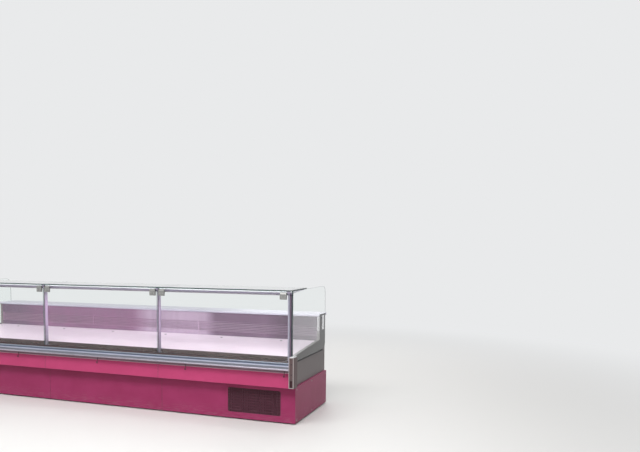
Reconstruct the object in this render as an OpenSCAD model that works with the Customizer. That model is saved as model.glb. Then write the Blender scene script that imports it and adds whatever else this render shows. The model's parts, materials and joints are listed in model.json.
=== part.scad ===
// Refrigerated serve-over display counter, three bays, with lifting front panes.
// X runs along the counter, -Y is the customers' side, Z is up; the floor is z = 0.

/* [Overall size] */
// Pitch of the front panes, from joint to joint
pane_pitch = 1315; // [900:5:1500]
// Depth from the bumper's nose to the rear edge of the worktop
overall_depth = 1140; // [1080:5:1300]
// Height to the top of the glass service shelf
overall_height = 1200; // [1140:5:1350]

/* [Feet and pedestals] */
// Height of the levelling feet, pad and stem
foot_height = 30; // [20:1:60]
// Radius of a foot's pad
foot_radius = 25; // [15:1:35]
// Thickness of a foot's pad
foot_pad = 8; // [4:1:14]
// Radius of a foot's threaded stem
stem_radius = 8; // [5:0.5:12]
// Distance of the feet from the ends of a pedestal
foot_inset = 60; // [40:5:120]
// Width of a pressed steel pedestal
pedestal_width = 40; // [30:1:60]
// Plate thickness of a pedestal
pedestal_plate = 4; // [2:0.5:8]
// Number of pressed bays along a pedestal
pedestal_pockets = 3; // [1:1:5]

/* [Painted panels] */
// Thickness of the folded sheet
sheet = 2; // [1:0.5:3]
// Depth of the folded edges of the panels
panel_fold = 18; // [12:1:25]
// Joint between neighbouring panels
panel_joint = 3; // [2:0.5:8]
// Gap between the floor and the lower panels
floor_gap = 12; // [5:1:19]
// Set-back of the lower front panels behind the bumper's nose
lower_setback = 126; // [110:1:150]
// Height of the top edge of the lower panels
lower_top = 336; // [300:1:337]
// Thickness of the painted covers beside the pedestals
side_cover = 20; // [12:1:40]

/* [Intake grille] */
// Width of the grille's opening
grille_width = 517; // [300:1:700]
// Height of the grille's opening
grille_height = 228; // [150:1:240]
// Corner radius of the grille's opening
grille_corner = 18; // [6:1:40]
// Height of the opening's lower edge above the floor
grille_bottom = 66; // [50:1:80]
// Distance of the opening from the panel's end
grille_from_end = 117; // [60:1:300]
// Overlap of the grille plate behind the panel
grille_overlap = 12; // [8:1:20]
// Width of a grille slot
slot_width = 7; // [4:0.5:9]
// Height of a grille slot
slot_height = 19; // [10:0.5:22]
// Slot pitch along the grille
slot_pitch = 12; // [11:0.5:20]
// Slot pitch up the grille
slot_row_pitch = 25; // [24:0.5:40]

/* [Skirt] */
// Height of the skirt's lower edge
skirt_bottom = 340; // [338:0.5:345]
// Set-back of the skirt's upper edge behind the bumper's nose
skirt_top_setback = 60; // [50:1:70]
// Set-back of the skirt's lower edge behind the bumper's nose
skirt_foot_setback = 52; // [40:1:58]
// Drop of the skirt's rear flange against the tub
skirt_flange = 20; // [10:1:40]
// Gap between the skirt's folded foot and the pedestals
skirt_gap = 4; // [1:0.5:10]

/* [Bumper] */
// Height of the bumper's lower edge
bumper_bottom = 500; // [480:1:520]
// Radius of the bumper's three ribs
rib_radius = 9; // [7:0.5:10]
// Pitch of the ribs
rib_pitch = 29.5; // [24:0.5:31]
// Wall of the aluminium extrusion
bumper_wall = 3; // [2:0.5:5]
// Thickness of the bag hooks' wire
hook_wire = 5; // [4:0.5:7]
// Inner radius of a bag hook's bend
hook_bend = 7; // [5:0.5:8]
// Reach of a bag hook below the bumper
hook_drop = 60; // [45:1:90]
// Distance of the hooks behind the extrusion's web
hook_inset = 12; // [10:0.5:16]
// Pitch of the bag hooks
hook_pitch = 968; // [600:1:1000]

/* [Insulated tub] */
// Height of the tub's underside
tub_bottom = 342; // [342:1:360]
// Thickness of the tub's floor
tub_floor_wall = 50; // [40:1:80]
// Thickness of the tub's front wall
tub_front_wall = 70; // [62:1:80]
// Thickness of the tub's rear wall
tub_rear_wall = 50; // [40:1:80]
// Distance from the bumper's nose to the tub's front face
tub_setback = 80; // [75:1:90]
// Distance from the worktop's rear edge to the display's rear wall
service_depth = 225; // [190:1:280]
// Distance from the worktop's rear edge to the rear panels
rear_overhang = 50; // [20:1:100]
// Thickness of the end panels
end_panel = 30; // [20:1:50]

/* [Display deck] */
// Height of the dark front lip
lip_height = 35; // [20:1:50]
// Width of the front lip
lip_width = 38; // [32:1:42]
// Corner radius of the front lip
lip_round = 4; // [1:0.5:8]
// Gap between the posts and the front lip
lip_gap = 4; // [1:0.5:6]
// Rise of the deck from the lip to the rear wall
deck_rise = 43; // [0:1:60]
// Flat seat at the deck's front and rear edges
deck_seat = 24; // [16:1:40]
// Joint between neighbouring deck plates
deck_joint = 2; // [1:0.5:6]
// Gap between the deck and the walls before and behind it
deck_margin = 5; // [2:0.5:8]

/* [Rear wall of the display] */
// Height of the upper band
band_height = 92; // [60:1:110]
// Height of the air grille
louvre_height = 100; // [70:1:110]
// Depth of the recess that holds the air grille
louvre_recess = 20; // [14:1:26]
// Number of louvre blades
louvre_blades = 6; // [3:1:9]
// Thickness of a louvre blade
louvre_blade = 2; // [1:0.5:4]
// Drop of a louvre blade towards its front
louvre_drop = 6; // [0:0.5:10]
// Height of the strips above and below the louvres
louvre_strip = 3; // [2:0.5:6]
// Width of the dividers between the louvres
louvre_divider = 6; // [4:0.5:12]
// Gap between the air grille and the lining's face
louvre_sink = 4; // [1:0.5:8]
// Width of the ledge that carries the deck
ledge_width = 26; // [18:1:40]

/* [Worktop] */
// Height of the worktop
worktop_height = 918; // [880:1:960]
// Thickness of the worktop
worktop_thickness = 25; // [18:1:40]
// Depth of the worktop
worktop_depth = 260; // [245:1:330]
// Radius of the worktop's front nose
worktop_nose = 9; // [3:1:12]

/* [Glazing frame] */
// Width of a post
post_width = 25; // [20:1:36]
// Depth of a post
post_depth = 30; // [20:1:34]
// Corner radius of the posts and the rail
post_corner = 4; // [1:0.5:8]
// Set-back of the posts behind the rail's face
post_setback = 6; // [4:0.5:8]
// Distance of the outer posts from the end panes
end_post_inset = 11; // [2:1:20]
// Height of the front rail
rail_height = 28; // [24:1:40]
// Depth of the front rail
rail_depth = 30; // [20:1:34]
// Height of the bead along the rail's upper edge
rail_bead = 10; // [8:0.5:14]
// Projection of the bead over the rail's face
rail_step = 3; // [1:0.5:5]
// Height of the arms under the service shelf
arm_height = 18; // [10:1:30]
// Width of an arm
arm_width = 16; // [10:1:30]
// Gap between an arm's tip and the shelf's rear edge
arm_gap = 30; // [10:1:100]
// Height of an arm's tip
arm_tip = 7.2; // [4:0.2:10]
// Length of an arm before it tapers
arm_root = 120; // [40:5:200]
// Width of the lamp housing
lamp_width = 34; // [24:1:60]
// Height of the lamp housing
lamp_height = 22; // [18:1:30]
// Radius of the lamp tube
lamp_radius = 7; // [4:0.5:7.5]
// Length of a lamp holder
lamp_holder = 26; // [15:1:50]
// Recess of the lamp holders inside the housing
lamp_recess = 1; // [0:0.5:4]
// Gap between the lamp housing and the posts
lamp_gap = 2; // [1:0.5:10]
// Distance of the lamp holders from the posts
lamp_margin = 10; // [5:1:60]

/* [Glass] */
// Thickness of the front panes
pane_glass = 6; // [4:0.5:10]
// Set-back of the front panes behind the bumper's nose
pane_setback = 50; // [46:1:54]
// Gap between neighbouring front panes
pane_gap = 6; // [6:0.5:12]
// Gap between a front pane and the bumper
pane_clearance = 5; // [5:0.5:15]
// Thickness of the service shelf
shelf_glass = 10; // [6:0.5:12]
// Overhang of the service shelf in front of the hinge axis
shelf_overhang = 14; // [0:1:24]
// Depth of the service shelf
shelf_depth = 450; // [300:5:500]
// Gap between neighbouring shelf panes
shelf_gap = 3; // [1:0.5:8]
// Thickness of the end panes
end_glass = 8; // [5:0.5:12]
// Corner radius at the rear of the end panes
end_corner = 80; // [20:1:120]
// Height of the end panes' lower edge
end_glass_bottom = 555; // [500:1:570]
// Distance from the end panes' rear edge to the worktop's rear edge
end_glass_inset = 65; // [50:1:120]

/* [Pane hinges] */
// Width of a glass clamp
clamp_width = 60; // [40:1:90]
// Height of a clamp on the glass
clamp_grip = 42; // [25:1:60]
// Thickness of a clamp's jaws
clamp_jaw = 6; // [4:0.5:6.5]
// Radius of the barrel along a clamp's upper edge
barrel_radius = 8; // [6:0.25:9]
// Drop of the hinge axis below the service shelf
hinge_drop = 17; // [16.5:0.5:20]
// Distance of the hinge axis behind the middle of the glass
axis_behind_glass = 2; // [0:0.5:3]
// Radius of the hinge pins
pin_radius = 3; // [2:0.25:3.5]
// Radial clearance of the pins in the clamps
pin_clearance = 0.1; // [0.05:0.05:0.3]
// Length of a pin inside a clamp
pin_grip = 20; // [10:1:35]
// Width of the hinge brackets
bracket_width = 24; // [16:1:30]
// Radius of a bracket's round front
bracket_radius = 6; // [5:0.25:6.75]
// Gap between a bracket and the service shelf
bracket_drop = 2; // [1:0.5:4]
// Gap between a bracket and a clamp
bracket_gap = 6; // [5:0.5:10]
// Drop of the pane's upper edge below the hinge axis
pane_drop = 12; // [11.75:0.25:15]
// Distance from the hinge axis to the rail's face
axis_to_rail = 14; // [14:0.5:18]

/* [Ends] */
// Width of the moulded bumper ends
cap_width = 50; // [36:1:80]
// Depth of the moulded bumper ends
cap_depth = 88; // [76:1:100]
// Height of the bumper ends' lower edge
cap_bottom = 350; // [345:1:380]
// Height of the bumper ends' upper edge
cap_top = 620; // [610:1:660]
// Radius of the bumper ends' outer corner
cap_radius = 12; // [4:1:30]
// Width of the rim round the bumper ends' face
cap_rim = 6; // [3:0.5:12]
// Depth of the sunk face of the bumper ends
cap_sink = 4; // [2:0.5:8]
// Height of the finger recess in the bumper ends
cap_recess = 60; // [40:1:90]
// Depth of the finger recess
cap_recess_depth = 12; // [9:0.5:20]
// Margin of the finger recess inside the sunk face
cap_recess_margin = 2; // [1:0.5:5]
// Thickness of the bright cap strip
trim_thickness = 7; // [4:0.5:12]
// Height of a stainless glass clip
clip_height = 140; // [80:1:160]
// Width of a stainless glass clip
clip_width = 60; // [40:1:80]
// Thickness of a glass clip
clip_plate = 4; // [2:0.5:8]
// Height of the clips' upper edge above the worktop's underside
clip_rise = 8; // [0:1:20]
// Distance of the front clip in front of the worktop's nose
clip_before = 20; // [10:1:60]
// Distance of the rear clip behind the worktop's nose
clip_behind = 80; // [20:1:110]
// Overhang of the body beyond the outer pane joints
body_beyond = 11.5; // [8:0.5:20]
// Upstand of the end panels over the deck's ledge
end_upstand = 12; // [4:1:30]
// Margin of the bright cap strip inside the bumper ends' outline
trim_margin = 2; // [1:0.5:5]
// Gap between an end pane and the bumper end
notch_gap = 2; // [1:0.5:5]

/* [Hidden] */
$fn = 48;
bays = 3;
ribs = 3;
// How far a cut runs past the face that it starts from
over = 1;

// Colours that several pieces share
crimson = [0.60, 0.15, 0.33];
glass_green = [0.62, 0.78, 0.76, 0.5];
tub_white = [0.85, 0.85, 0.86];
steel = [0.80, 0.80, 0.82];
post_lilac = [0.66, 0.62, 0.72];

// Along the counter
body_end = bays * pane_pitch / 2 + body_beyond;
inner_end = body_end - end_panel;
cover_end = body_end + side_cover;
function joint_x(i) = (i - bays / 2) * pane_pitch;
// What stands at the pane joints, with the outer two moved to the ends
function at_joint(i, end) = i == 0 ? -end : i == bays ? end : joint_x(i);
function post_x(i) = at_joint(i, body_end - end_post_inset - post_width / 2);
function pedestal_x(i) = at_joint(i, inner_end - pedestal_width / 2);
// The two sides of a bay's piece, with a joint to its neighbours and the outer sides at the ends
function bay_x0(i, end, joint) = i == 0 ? -end : joint_x(i) + joint / 2;
function bay_x1(i, end, joint) = i == bays - 1 ? end : joint_x(i + 1) - joint / 2;

// From front to rear
nose_y = -overall_depth / 2;
rear_y = overall_depth / 2;
web_y = nose_y + rib_radius;
pane_y = nose_y + pane_setback;
lower_y = nose_y + lower_setback;
tub_y = nose_y + tub_setback;
pedestal_y = lower_y + panel_fold;
rear_panel_y = rear_y - rear_overhang;
pedestal_end = rear_panel_y - panel_fold;
wall_y = rear_y - service_depth;
lining_y = wall_y - louvre_recess;
worktop_y = rear_y - worktop_depth;
axis_y = pane_y + pane_glass / 2 + axis_behind_glass;
rail_y = axis_y + axis_to_rail;
post_y = rail_y + post_setback;
post_end = post_y + post_depth;
lip_y = post_end + lip_gap;
arm_y = rail_y + rail_depth;
lamp_y = post_end + lamp_gap;
shelf_y = axis_y - shelf_overhang;
shelf_end = shelf_y + shelf_depth;

// Upwards
bumper_top = bumper_bottom + 2 * rib_radius + (ribs - 1) * rib_pitch;
lip_top = bumper_top + lip_height;
ledge_z = lip_top + deck_rise;
worktop_z = worktop_height - worktop_thickness;
band_z = worktop_z - band_height;
louvre_z = band_z - louvre_height;
shelf_z = overall_height - shelf_glass;
rail_z = shelf_z - rail_height;
bead_z = shelf_z - rail_bead;
arm_z = shelf_z - arm_height;
lamp_z = arm_z - lamp_height;
axis_z = shelf_z - hinge_drop;
pane_bottom = bumper_top + pane_clearance;
pane_top = axis_z - pane_drop;

// A box from its low corner to its high corner
module block(low, high) translate(low) cube(high - low);

// The same in an outline
module field(low, high) translate(low) square(high - low);

// Carries an outline drawn as [y, z] along X
module along_x(x0, x1) translate([x0, 0, 0]) rotate([90, 0, 90]) linear_extrude(x1 - x0) children();

// An outline drawn as [x, z], standing as a plate from y towards the rear
module upright(y, t) translate([0, y + t, 0]) rotate([90, 0, 0]) linear_extrude(t) children();

// Rectangle with round corners, made of true arcs
module round_rect(w, h, r) {
  translate([r, 0]) square([w - 2 * r, h]);
  translate([0, r]) square([w, h - 2 * r]);
  for (x = [r, w - r], y = [r, h - r]) translate([x, y]) circle(r);
}

// A folded sheet: a polyline [y, z] thickened to its left, with mitred folds
function unit(v) = v / norm(v);
function left(v) = [-v[1], v[0]];
function fold_normal(p, i) = let (n = len(p),
  before = left(unit(i > 0 ? p[i] - p[i - 1] : p[1] - p[0])),
  after = left(unit(i < n - 1 ? p[i + 1] - p[i] : p[n - 1] - p[n - 2])))
  (before + after) / (1 + before * after);
module folded_sheet(p, t) polygon(concat(p, [for (i = [len(p) - 1:-1:0]) p[i] + t * fold_normal(p, i)]));

// A pan: a sheet with its four edges folded back; the face looks along -Y
module pan(x0, x1, y, z0, z1) difference() {
  block([x0, y, z0], [x1, y + panel_fold, z1]);
  block([x0 + sheet, y + sheet, z0 + sheet], [x1 - sheet, y + panel_fold + over, z1 - sheet]);
}

module both_ends() {
  children();
  mirror([1, 0, 0]) children();
}

// Levelling feet under the pedestals
module foot(x, y) translate([x, y, 0]) {
  cylinder(h = foot_pad, r = foot_radius);
  cylinder(h = foot_height, r = stem_radius);
}
module feet() color([0.12, 0.12, 0.13])
  for (i = [0:bays], y = [pedestal_y + foot_inset, pedestal_end - foot_inset]) foot(pedestal_x(i), y);

// Pressed pedestal: flanges round a thin web, stiffened by ribs between the pockets
module pedestal(x) {
  half = pedestal_width / 2;
  pocket = (pedestal_end - pedestal_y - pedestal_plate) / pedestal_pockets;
  translate([x, 0, 0]) scale([x > 0 ? -1 : 1, 1, 1]) difference() {
    block([-half, pedestal_y, foot_height], [half, pedestal_end, tub_bottom]);
    for (k = [0:pedestal_pockets - 1])
      block([-half + pedestal_plate, pedestal_y + pedestal_plate + k * pocket, foot_height + pedestal_plate],
        [half + over, pedestal_y + (k + 1) * pocket, tub_bottom - pedestal_plate]);
  }
}
module pedestals() color([0.55, 0.56, 0.57]) for (i = [0:bays]) pedestal(pedestal_x(i));

// Lower front panels, one for each bay
module lower_panel(i) color(crimson)
  pan(bay_x0(i, body_end, panel_joint), bay_x1(i, body_end, panel_joint), lower_y, floor_gap, lower_top);
module lower_panel_left() lower_panel(0);
module lower_panel_middle() lower_panel(1);
module lower_panel_right() difference() {
  lower_panel(2);
  upright(lower_y - over, sheet + 2 * over) grille_outline(0);
}

// Slotted intake grille behind the opening
grille_x = body_end - grille_from_end - grille_width;
slots = floor((grille_width - slot_pitch) / slot_pitch);
slot_rows = floor((grille_height - slot_height) / slot_row_pitch) + 1;
slot_x = grille_x + (grille_width - (slots - 1) * slot_pitch) / 2;
slot_z = grille_bottom + (grille_height - (slot_rows - 1) * slot_row_pitch) / 2;
module grille_outline(grow) translate([grille_x - grow, grille_bottom - grow])
  round_rect(grille_width + 2 * grow, grille_height + 2 * grow, grille_corner + grow);
module intake_grille() color([0.27, 0.11, 0.16]) upright(lower_y + sheet, sheet) difference() {
  grille_outline(grille_overlap);
  for (i = [0:slots - 1], k = [0:slot_rows - 1])
    translate([slot_x + i * slot_pitch, slot_z + k * slot_row_pitch])
      square([slot_width, slot_height], center = true);
}

// Painted covers that close the base beside the outer pedestals
module side_cover() color(crimson) difference() {
  block([body_end, lower_y, floor_gap], [cover_end, rear_panel_y, lower_top]);
  block([body_end - over, lower_y + sheet, floor_gap + sheet],
    [cover_end - sheet, rear_panel_y - sheet, lower_top - sheet]);
}
module side_cover_right() side_cover();
module side_cover_left() mirror([1, 0, 0]) side_cover();

// Upper panels: a sheet that leans out to its foot and folds back over the lower panels
skirt_line = [[tub_y, bumper_bottom - skirt_flange], [tub_y, bumper_bottom],
  [nose_y + skirt_top_setback, bumper_bottom], [nose_y + skirt_foot_setback, skirt_bottom],
  [pedestal_y - skirt_gap, skirt_bottom]];
module skirt_panels() color([0.80, 0.26, 0.46]) for (i = [0:bays - 1])
  along_x(bay_x0(i, body_end, panel_joint), bay_x1(i, body_end, panel_joint)) folded_sheet(skirt_line, sheet);

// Half a circle that swells forwards from the bumper's web
module rib(k) translate([web_y, bumper_bottom + rib_radius + k * rib_pitch]) intersection() {
  circle(rib_radius);
  field([-rib_radius, -rib_radius], [0, rib_radius]);
}

// Bumper extrusion: a web with the outer ribs, between two flanges that meet the tub
module bumper_rail() color([0.74, 0.75, 0.79]) along_x(-body_end, body_end) {
  field([web_y, bumper_bottom], [web_y + bumper_wall, bumper_top]);
  for (z = [bumper_bottom, bumper_top - bumper_wall]) field([web_y, z], [tub_y, z + bumper_wall]);
  for (k = [0, ribs - 1]) rib(k);
}

// Plastic nosing: the rib between them
module bumper_nosing() color([0.62, 0.64, 0.74]) along_x(-body_end, body_end) for (k = [1:ribs - 2]) rib(k);

// Wire hooks under the bumper, bent forwards
hook_r = hook_bend + hook_wire / 2;
hook_z = bumper_bottom - hook_drop + hook_r + hook_wire / 2;
hook_y = web_y + bumper_wall + hook_inset;
module bag_hook(x) translate([x, hook_y, 0]) {
  translate([0, 0, hook_z]) cylinder(h = bumper_bottom - hook_z, d = hook_wire);
  translate([0, -hook_r, hook_z]) rotate([0, 0, 90]) rotate([90, 0, 0]) rotate([0, 0, 180])
    rotate_extrude(angle = 180) translate([hook_r, 0]) circle(d = hook_wire);
  translate([0, -2 * hook_r, hook_z]) cylinder(h = hook_r, d = hook_wire);
}
module bag_hooks() color([0.15, 0.14, 0.15]) for (k = [-2:2]) bag_hook(k * hook_pitch);

// Insulated tub
module tub_floor() color(tub_white)
  block([-inner_end, tub_y, tub_bottom], [inner_end, wall_y + tub_rear_wall, tub_bottom + tub_floor_wall]);
module tub_front() color(tub_white)
  block([-inner_end, tub_y, tub_bottom + tub_floor_wall], [inner_end, tub_y + tub_front_wall, bumper_top]);
module tub_rear() color(tub_white)
  block([-inner_end, wall_y, tub_bottom + tub_floor_wall], [inner_end, wall_y + tub_rear_wall, worktop_z]);

// End panels: closed below the deck and behind the display, with a seat for the outer posts
end_outline = [[pedestal_y, foot_height], [rear_panel_y, foot_height], [rear_panel_y, worktop_z],
  [lining_y, worktop_z], [lining_y, ledge_z + end_upstand], [lip_y, lip_top], [lip_y, bumper_top],
  [tub_y, bumper_top], [tub_y, tub_bottom], [pedestal_y, tub_bottom]];
module end_panel() color([0.45, 0.41, 0.41]) along_x(inner_end, body_end) polygon(end_outline);
module end_panel_right() end_panel();
module end_panel_left() mirror([1, 0, 0]) end_panel();

// Lip between the sill and the deck, with a round upper edge at its front
module front_lip() color([0.36, 0.34, 0.32]) along_x(-inner_end, inner_end) {
  field([lip_y, bumper_top], [lip_y + lip_width, lip_top - lip_round]);
  field([lip_y + lip_round, bumper_top], [lip_y + lip_width, lip_top]);
  translate([lip_y + lip_round, lip_top - lip_round]) circle(lip_round);
}

// Display deck: two plates to a bay, which slope up from the lip to the ledge of the lining
deck_line = [[lip_y + deck_margin, lip_top], [lip_y + deck_margin + deck_seat, lip_top],
  [lining_y - deck_margin - deck_seat, ledge_z], [lining_y - deck_margin, ledge_z]];
module deck(i) color([0.86, 0.83, 0.86]) {
  x0 = bay_x0(i, inner_end - deck_joint, deck_joint);
  x1 = bay_x1(i, inner_end - deck_joint, deck_joint);
  half = (x1 - x0 - deck_joint) / 2;
  along_x(x0, x0 + half) folded_sheet(deck_line, sheet);
  along_x(x1 - half, x1) folded_sheet(deck_line, sheet);
}
module deck_left() deck(0);
module deck_middle() deck(1);
module deck_right() deck(2);

// Lining of the rear wall, folded round the air grille, with the deck's ledge at its foot
lining_line = [[lining_y, worktop_z], [lining_y, band_z], [wall_y - sheet, band_z], [wall_y - sheet, louvre_z],
  [lining_y, louvre_z], [lining_y, ledge_z], [lining_y - ledge_width, ledge_z]];
module rear_lining() color([0.66, 0.50, 0.62]) along_x(-inner_end, inner_end) folded_sheet(lining_line, sheet);

// Air grille: sloping blades between two strips, with a divider at each joint
module air_grille() color([0.62, 0.50, 0.60]) {
  y0 = lining_y - sheet + louvre_sink;
  y1 = wall_y - sheet;
  along_x(-inner_end, inner_end) {
    for (k = [1:louvre_blades - 1]) translate([0, louvre_z + k * louvre_height / louvre_blades])
      polygon([[y0, -louvre_drop], [y1, 0], [y1, louvre_blade], [y0, louvre_blade - louvre_drop]]);
    for (z = [louvre_z, band_z - louvre_strip]) field([y0, z], [y1, z + louvre_strip]);
  }
  for (i = [0:bays]) {
    x = at_joint(i, inner_end - louvre_divider / 2);
    block([x - louvre_divider / 2, y0, louvre_z], [x + louvre_divider / 2, y1, band_z]);
  }
}

// Worktop with a rounded front nose
module worktop() color(steel) along_x(-body_end, body_end) translate([worktop_y, worktop_z]) {
  field([worktop_nose, 0], [worktop_depth, worktop_thickness]);
  field([0, worktop_nose], [worktop_nose, worktop_thickness - worktop_nose]);
  for (z = [worktop_nose, worktop_thickness - worktop_nose]) translate([worktop_nose, z]) circle(worktop_nose);
}

// Plain panels that close the rear
module rear_panels() color(steel) for (i = [0:bays - 1])
  mirror([0, 1, 0]) pan(bay_x0(i, inner_end, panel_joint), bay_x1(i, inner_end, panel_joint), -rear_panel_y,
    floor_gap, worktop_z);

// Posts between the sill and the front rail
module post(x) translate([x - post_width / 2, post_y, bumper_top]) linear_extrude(rail_z - bumper_top)
  round_rect(post_width, post_depth, post_corner);
module end_posts() color(post_lilac) for (i = [0, bays]) post(post_x(i));
module middle_posts() color(post_lilac) for (i = [1:bays - 1]) post(post_x(i));

// Rail over the posts, with a bead along its upper edge
module front_rail() color(steel) along_x(-body_end, body_end) {
  translate([rail_y + rail_step, rail_z]) round_rect(rail_depth - rail_step, rail_height, post_corner);
  field([rail_y, bead_z], [rail_y + rail_depth - post_corner, shelf_z]);
}

// Arms that carry the service shelf, tapering towards their tips
module shelf_arms() color([0.66, 0.65, 0.68]) for (i = [0:bays]) {
  tip_y = shelf_end - arm_gap;
  along_x(post_x(i) - arm_width / 2, post_x(i) + arm_width / 2) polygon([[arm_y, arm_z],
    [arm_y + arm_root, arm_z], [tip_y, shelf_z - arm_tip], [tip_y, shelf_z], [arm_y, shelf_z]]);
}

// Lamp housings under the arms, with a holder at each end of the tube
function lamp_x0(i) = post_x(i) + post_width / 2 + lamp_margin;
function lamp_x1(i) = post_x(i + 1) - post_width / 2 - lamp_margin;
module lamp_housing(i) {
  x0 = bay_x0(i, -post_x(0) + arm_width / 2, deck_joint);
  x1 = bay_x1(i, post_x(bays) + arm_width / 2, deck_joint);
  along_x(x0, x1) difference() {
    field([lamp_y, lamp_z], [lamp_y + lamp_width, arm_z]);
    field([lamp_y + sheet, lamp_z - over], [lamp_y + lamp_width - sheet, arm_z - sheet]);
  }
  for (x = [lamp_x0(i), lamp_x1(i) - lamp_holder])
    block([x, lamp_y + sheet / 2, lamp_z + lamp_recess],
      [x + lamp_holder, lamp_y + lamp_width - sheet / 2, arm_z - sheet / 2]);
}
module lamp_housings() color([0.72, 0.66, 0.70]) for (i = [0:bays - 1]) lamp_housing(i);
module lamp_tubes() color([1.0, 0.86, 0.92]) for (i = [0:bays - 1])
  along_x(lamp_x0(i) + lamp_holder, lamp_x1(i) - lamp_holder)
    translate([lamp_y + lamp_width / 2, lamp_z + (lamp_height - sheet) / 2]) circle(lamp_radius);

// Service shelf, one pane for each bay
module service_shelf() color(glass_green) for (i = [0:bays - 1])
  block([bay_x0(i, body_end, shelf_gap), shelf_y, shelf_z],
    [bay_x1(i, body_end, shelf_gap), shelf_end, overall_height]);

// End panes, notched round the bumper ends and rounded at the rear
module end_glass_outline() {
  y1 = rear_y - end_glass_inset;
  r = end_corner;
  difference() {
    union() {
      field([rail_y, end_glass_bottom + r], [y1, shelf_z - r]);
      field([rail_y, end_glass_bottom], [y1 - r, shelf_z]);
      for (z = [end_glass_bottom + r, shelf_z - r]) translate([y1 - r, z]) circle(r);
    }
    field([rail_y - over, end_glass_bottom - over],
      [nose_y + cap_depth + notch_gap, cap_top + notch_gap]);
  }
}
module end_pane() color(glass_green) along_x(body_end, body_end + end_glass) end_glass_outline();
module end_glass_right() end_pane();
module end_glass_left() mirror([1, 0, 0]) end_pane();

// Moulded ends of the bumper: a rounded outer corner, a sunk face and a finger recess
module bumper_end() color([0.30, 0.25, 0.25]) translate([body_end, nose_y, 0]) difference() {
  inner = cap_rim + cap_recess_margin;
  translate([0, 0, cap_bottom]) linear_extrude(cap_top - cap_bottom) {
    field([0, 0], [cap_width - cap_radius, cap_depth]);
    field([0, cap_radius], [cap_width, cap_depth]);
    translate([cap_width - cap_radius, cap_radius]) circle(cap_radius);
  }
  block([cap_rim, -over, cap_bottom + cap_rim], [cap_width - cap_radius, cap_sink, cap_top - cap_rim]);
  block([inner, -over, cap_bottom + inner],
    [cap_width - cap_radius - cap_recess_margin, cap_recess_depth, cap_bottom + inner + cap_recess]);
}
module bumper_end_right() bumper_end();
module bumper_end_left() mirror([1, 0, 0]) bumper_end();

// Bright strips on the bumper ends, and stainless clips on the end panes
clip_z = worktop_z - clip_height + clip_rise;
module end_trims() color([0.88, 0.88, 0.90]) both_ends() {
  block([body_end + end_glass, nose_y + trim_margin, cap_top],
    [body_end + cap_width - trim_margin, nose_y + cap_depth - trim_margin, cap_top + trim_thickness]);
  for (y = [worktop_y - clip_width - clip_before, worktop_y + clip_behind])
    block([body_end + end_glass, y, clip_z],
      [body_end + end_glass + clip_plate, y + clip_width, clip_z + clip_height]);
}

// Hinge brackets on the rail, with a pin into the clamp on either side
module hinge_bracket(i) {
  x = post_x(i);
  reach = bracket_width / 2 + bracket_gap + pin_grip;
  along_x(x - bracket_width / 2, x + bracket_width / 2) {
    translate([axis_y, axis_z]) circle(bracket_radius);
    field([axis_y - bracket_radius, axis_z], [rail_y, shelf_z - bracket_drop]);
    field([axis_y, axis_z - bracket_radius], [rail_y + rail_step, bead_z]);
  }
  along_x(i == 0 ? x : x - reach, i == bays ? x : x + reach) translate([axis_y, axis_z]) circle(pin_radius);
}
module pane_hinges() color([0.70, 0.70, 0.72]) for (i = [0:bays]) hinge_bracket(i);

// Front panes
module front_pane(i) color(glass_green) block([joint_x(i) + pane_gap / 2, pane_y, pane_bottom],
  [joint_x(i + 1) - pane_gap / 2, pane_y + pane_glass, pane_top]);
module front_glass_left() front_pane(0);
module front_glass_middle() front_pane(1);
module front_glass_right() front_pane(2);

// Clamps: two jaws on the glass under a barrel that turns on the pin
module clamp_outline() difference() {
  front = pane_y - clamp_jaw;
  back = pane_y + pane_glass + clamp_jaw;
  low = pane_top - clamp_grip;
  union() {
    polygon([[front, low], [back, low], [back, axis_z], [axis_y - barrel_radius, axis_z],
      [front, axis_z - barrel_radius]]);
    translate([axis_y, axis_z]) circle(barrel_radius);
  }
  field([pane_y, low - over], [pane_y + pane_glass, pane_top]);
  translate([axis_y, axis_z]) circle(pin_radius + pin_clearance);
}
module glass_clamps(i) color([0.72, 0.72, 0.74]) {
  offset = bracket_width / 2 + bracket_gap;
  along_x(post_x(i) + offset, post_x(i) + offset + clamp_width) clamp_outline();
  along_x(post_x(i + 1) - offset - clamp_width, post_x(i + 1) - offset) clamp_outline();
}
module glass_clamps_left() glass_clamps(0);
module glass_clamps_middle() glass_clamps(1);
module glass_clamps_right() glass_clamps(2);

feet();
pedestals();
lower_panel_left();
lower_panel_middle();
lower_panel_right();
intake_grille();
side_cover_left();
side_cover_right();
skirt_panels();
bumper_rail();
bumper_nosing();
bag_hooks();
tub_floor();
tub_front();
tub_rear();
end_panel_left();
end_panel_right();
front_lip();
deck_left();
deck_middle();
deck_right();
rear_lining();
air_grille();
worktop();
rear_panels();
end_posts();
middle_posts();
front_rail();
shelf_arms();
lamp_housings();
lamp_tubes();
service_shelf();
end_glass_left();
end_glass_right();
bumper_end_left();
bumper_end_right();
end_trims();
pane_hinges();
front_glass_left();
front_glass_middle();
front_glass_right();
glass_clamps_left();
glass_clamps_middle();
glass_clamps_right();
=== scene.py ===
"""Looks of a refrigerated serve-over display counter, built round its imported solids.

Sizes are in millimetres, in the frame of the solids: X runs along the counter, -Y is the front with its
lifting panes, Z is up and the floor is z = 0. Only the last step of each piece turns them to metres.
"""

import json
import logging
import math
from dataclasses import dataclass
from enum import Enum
from typing import Optional, Sequence

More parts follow.
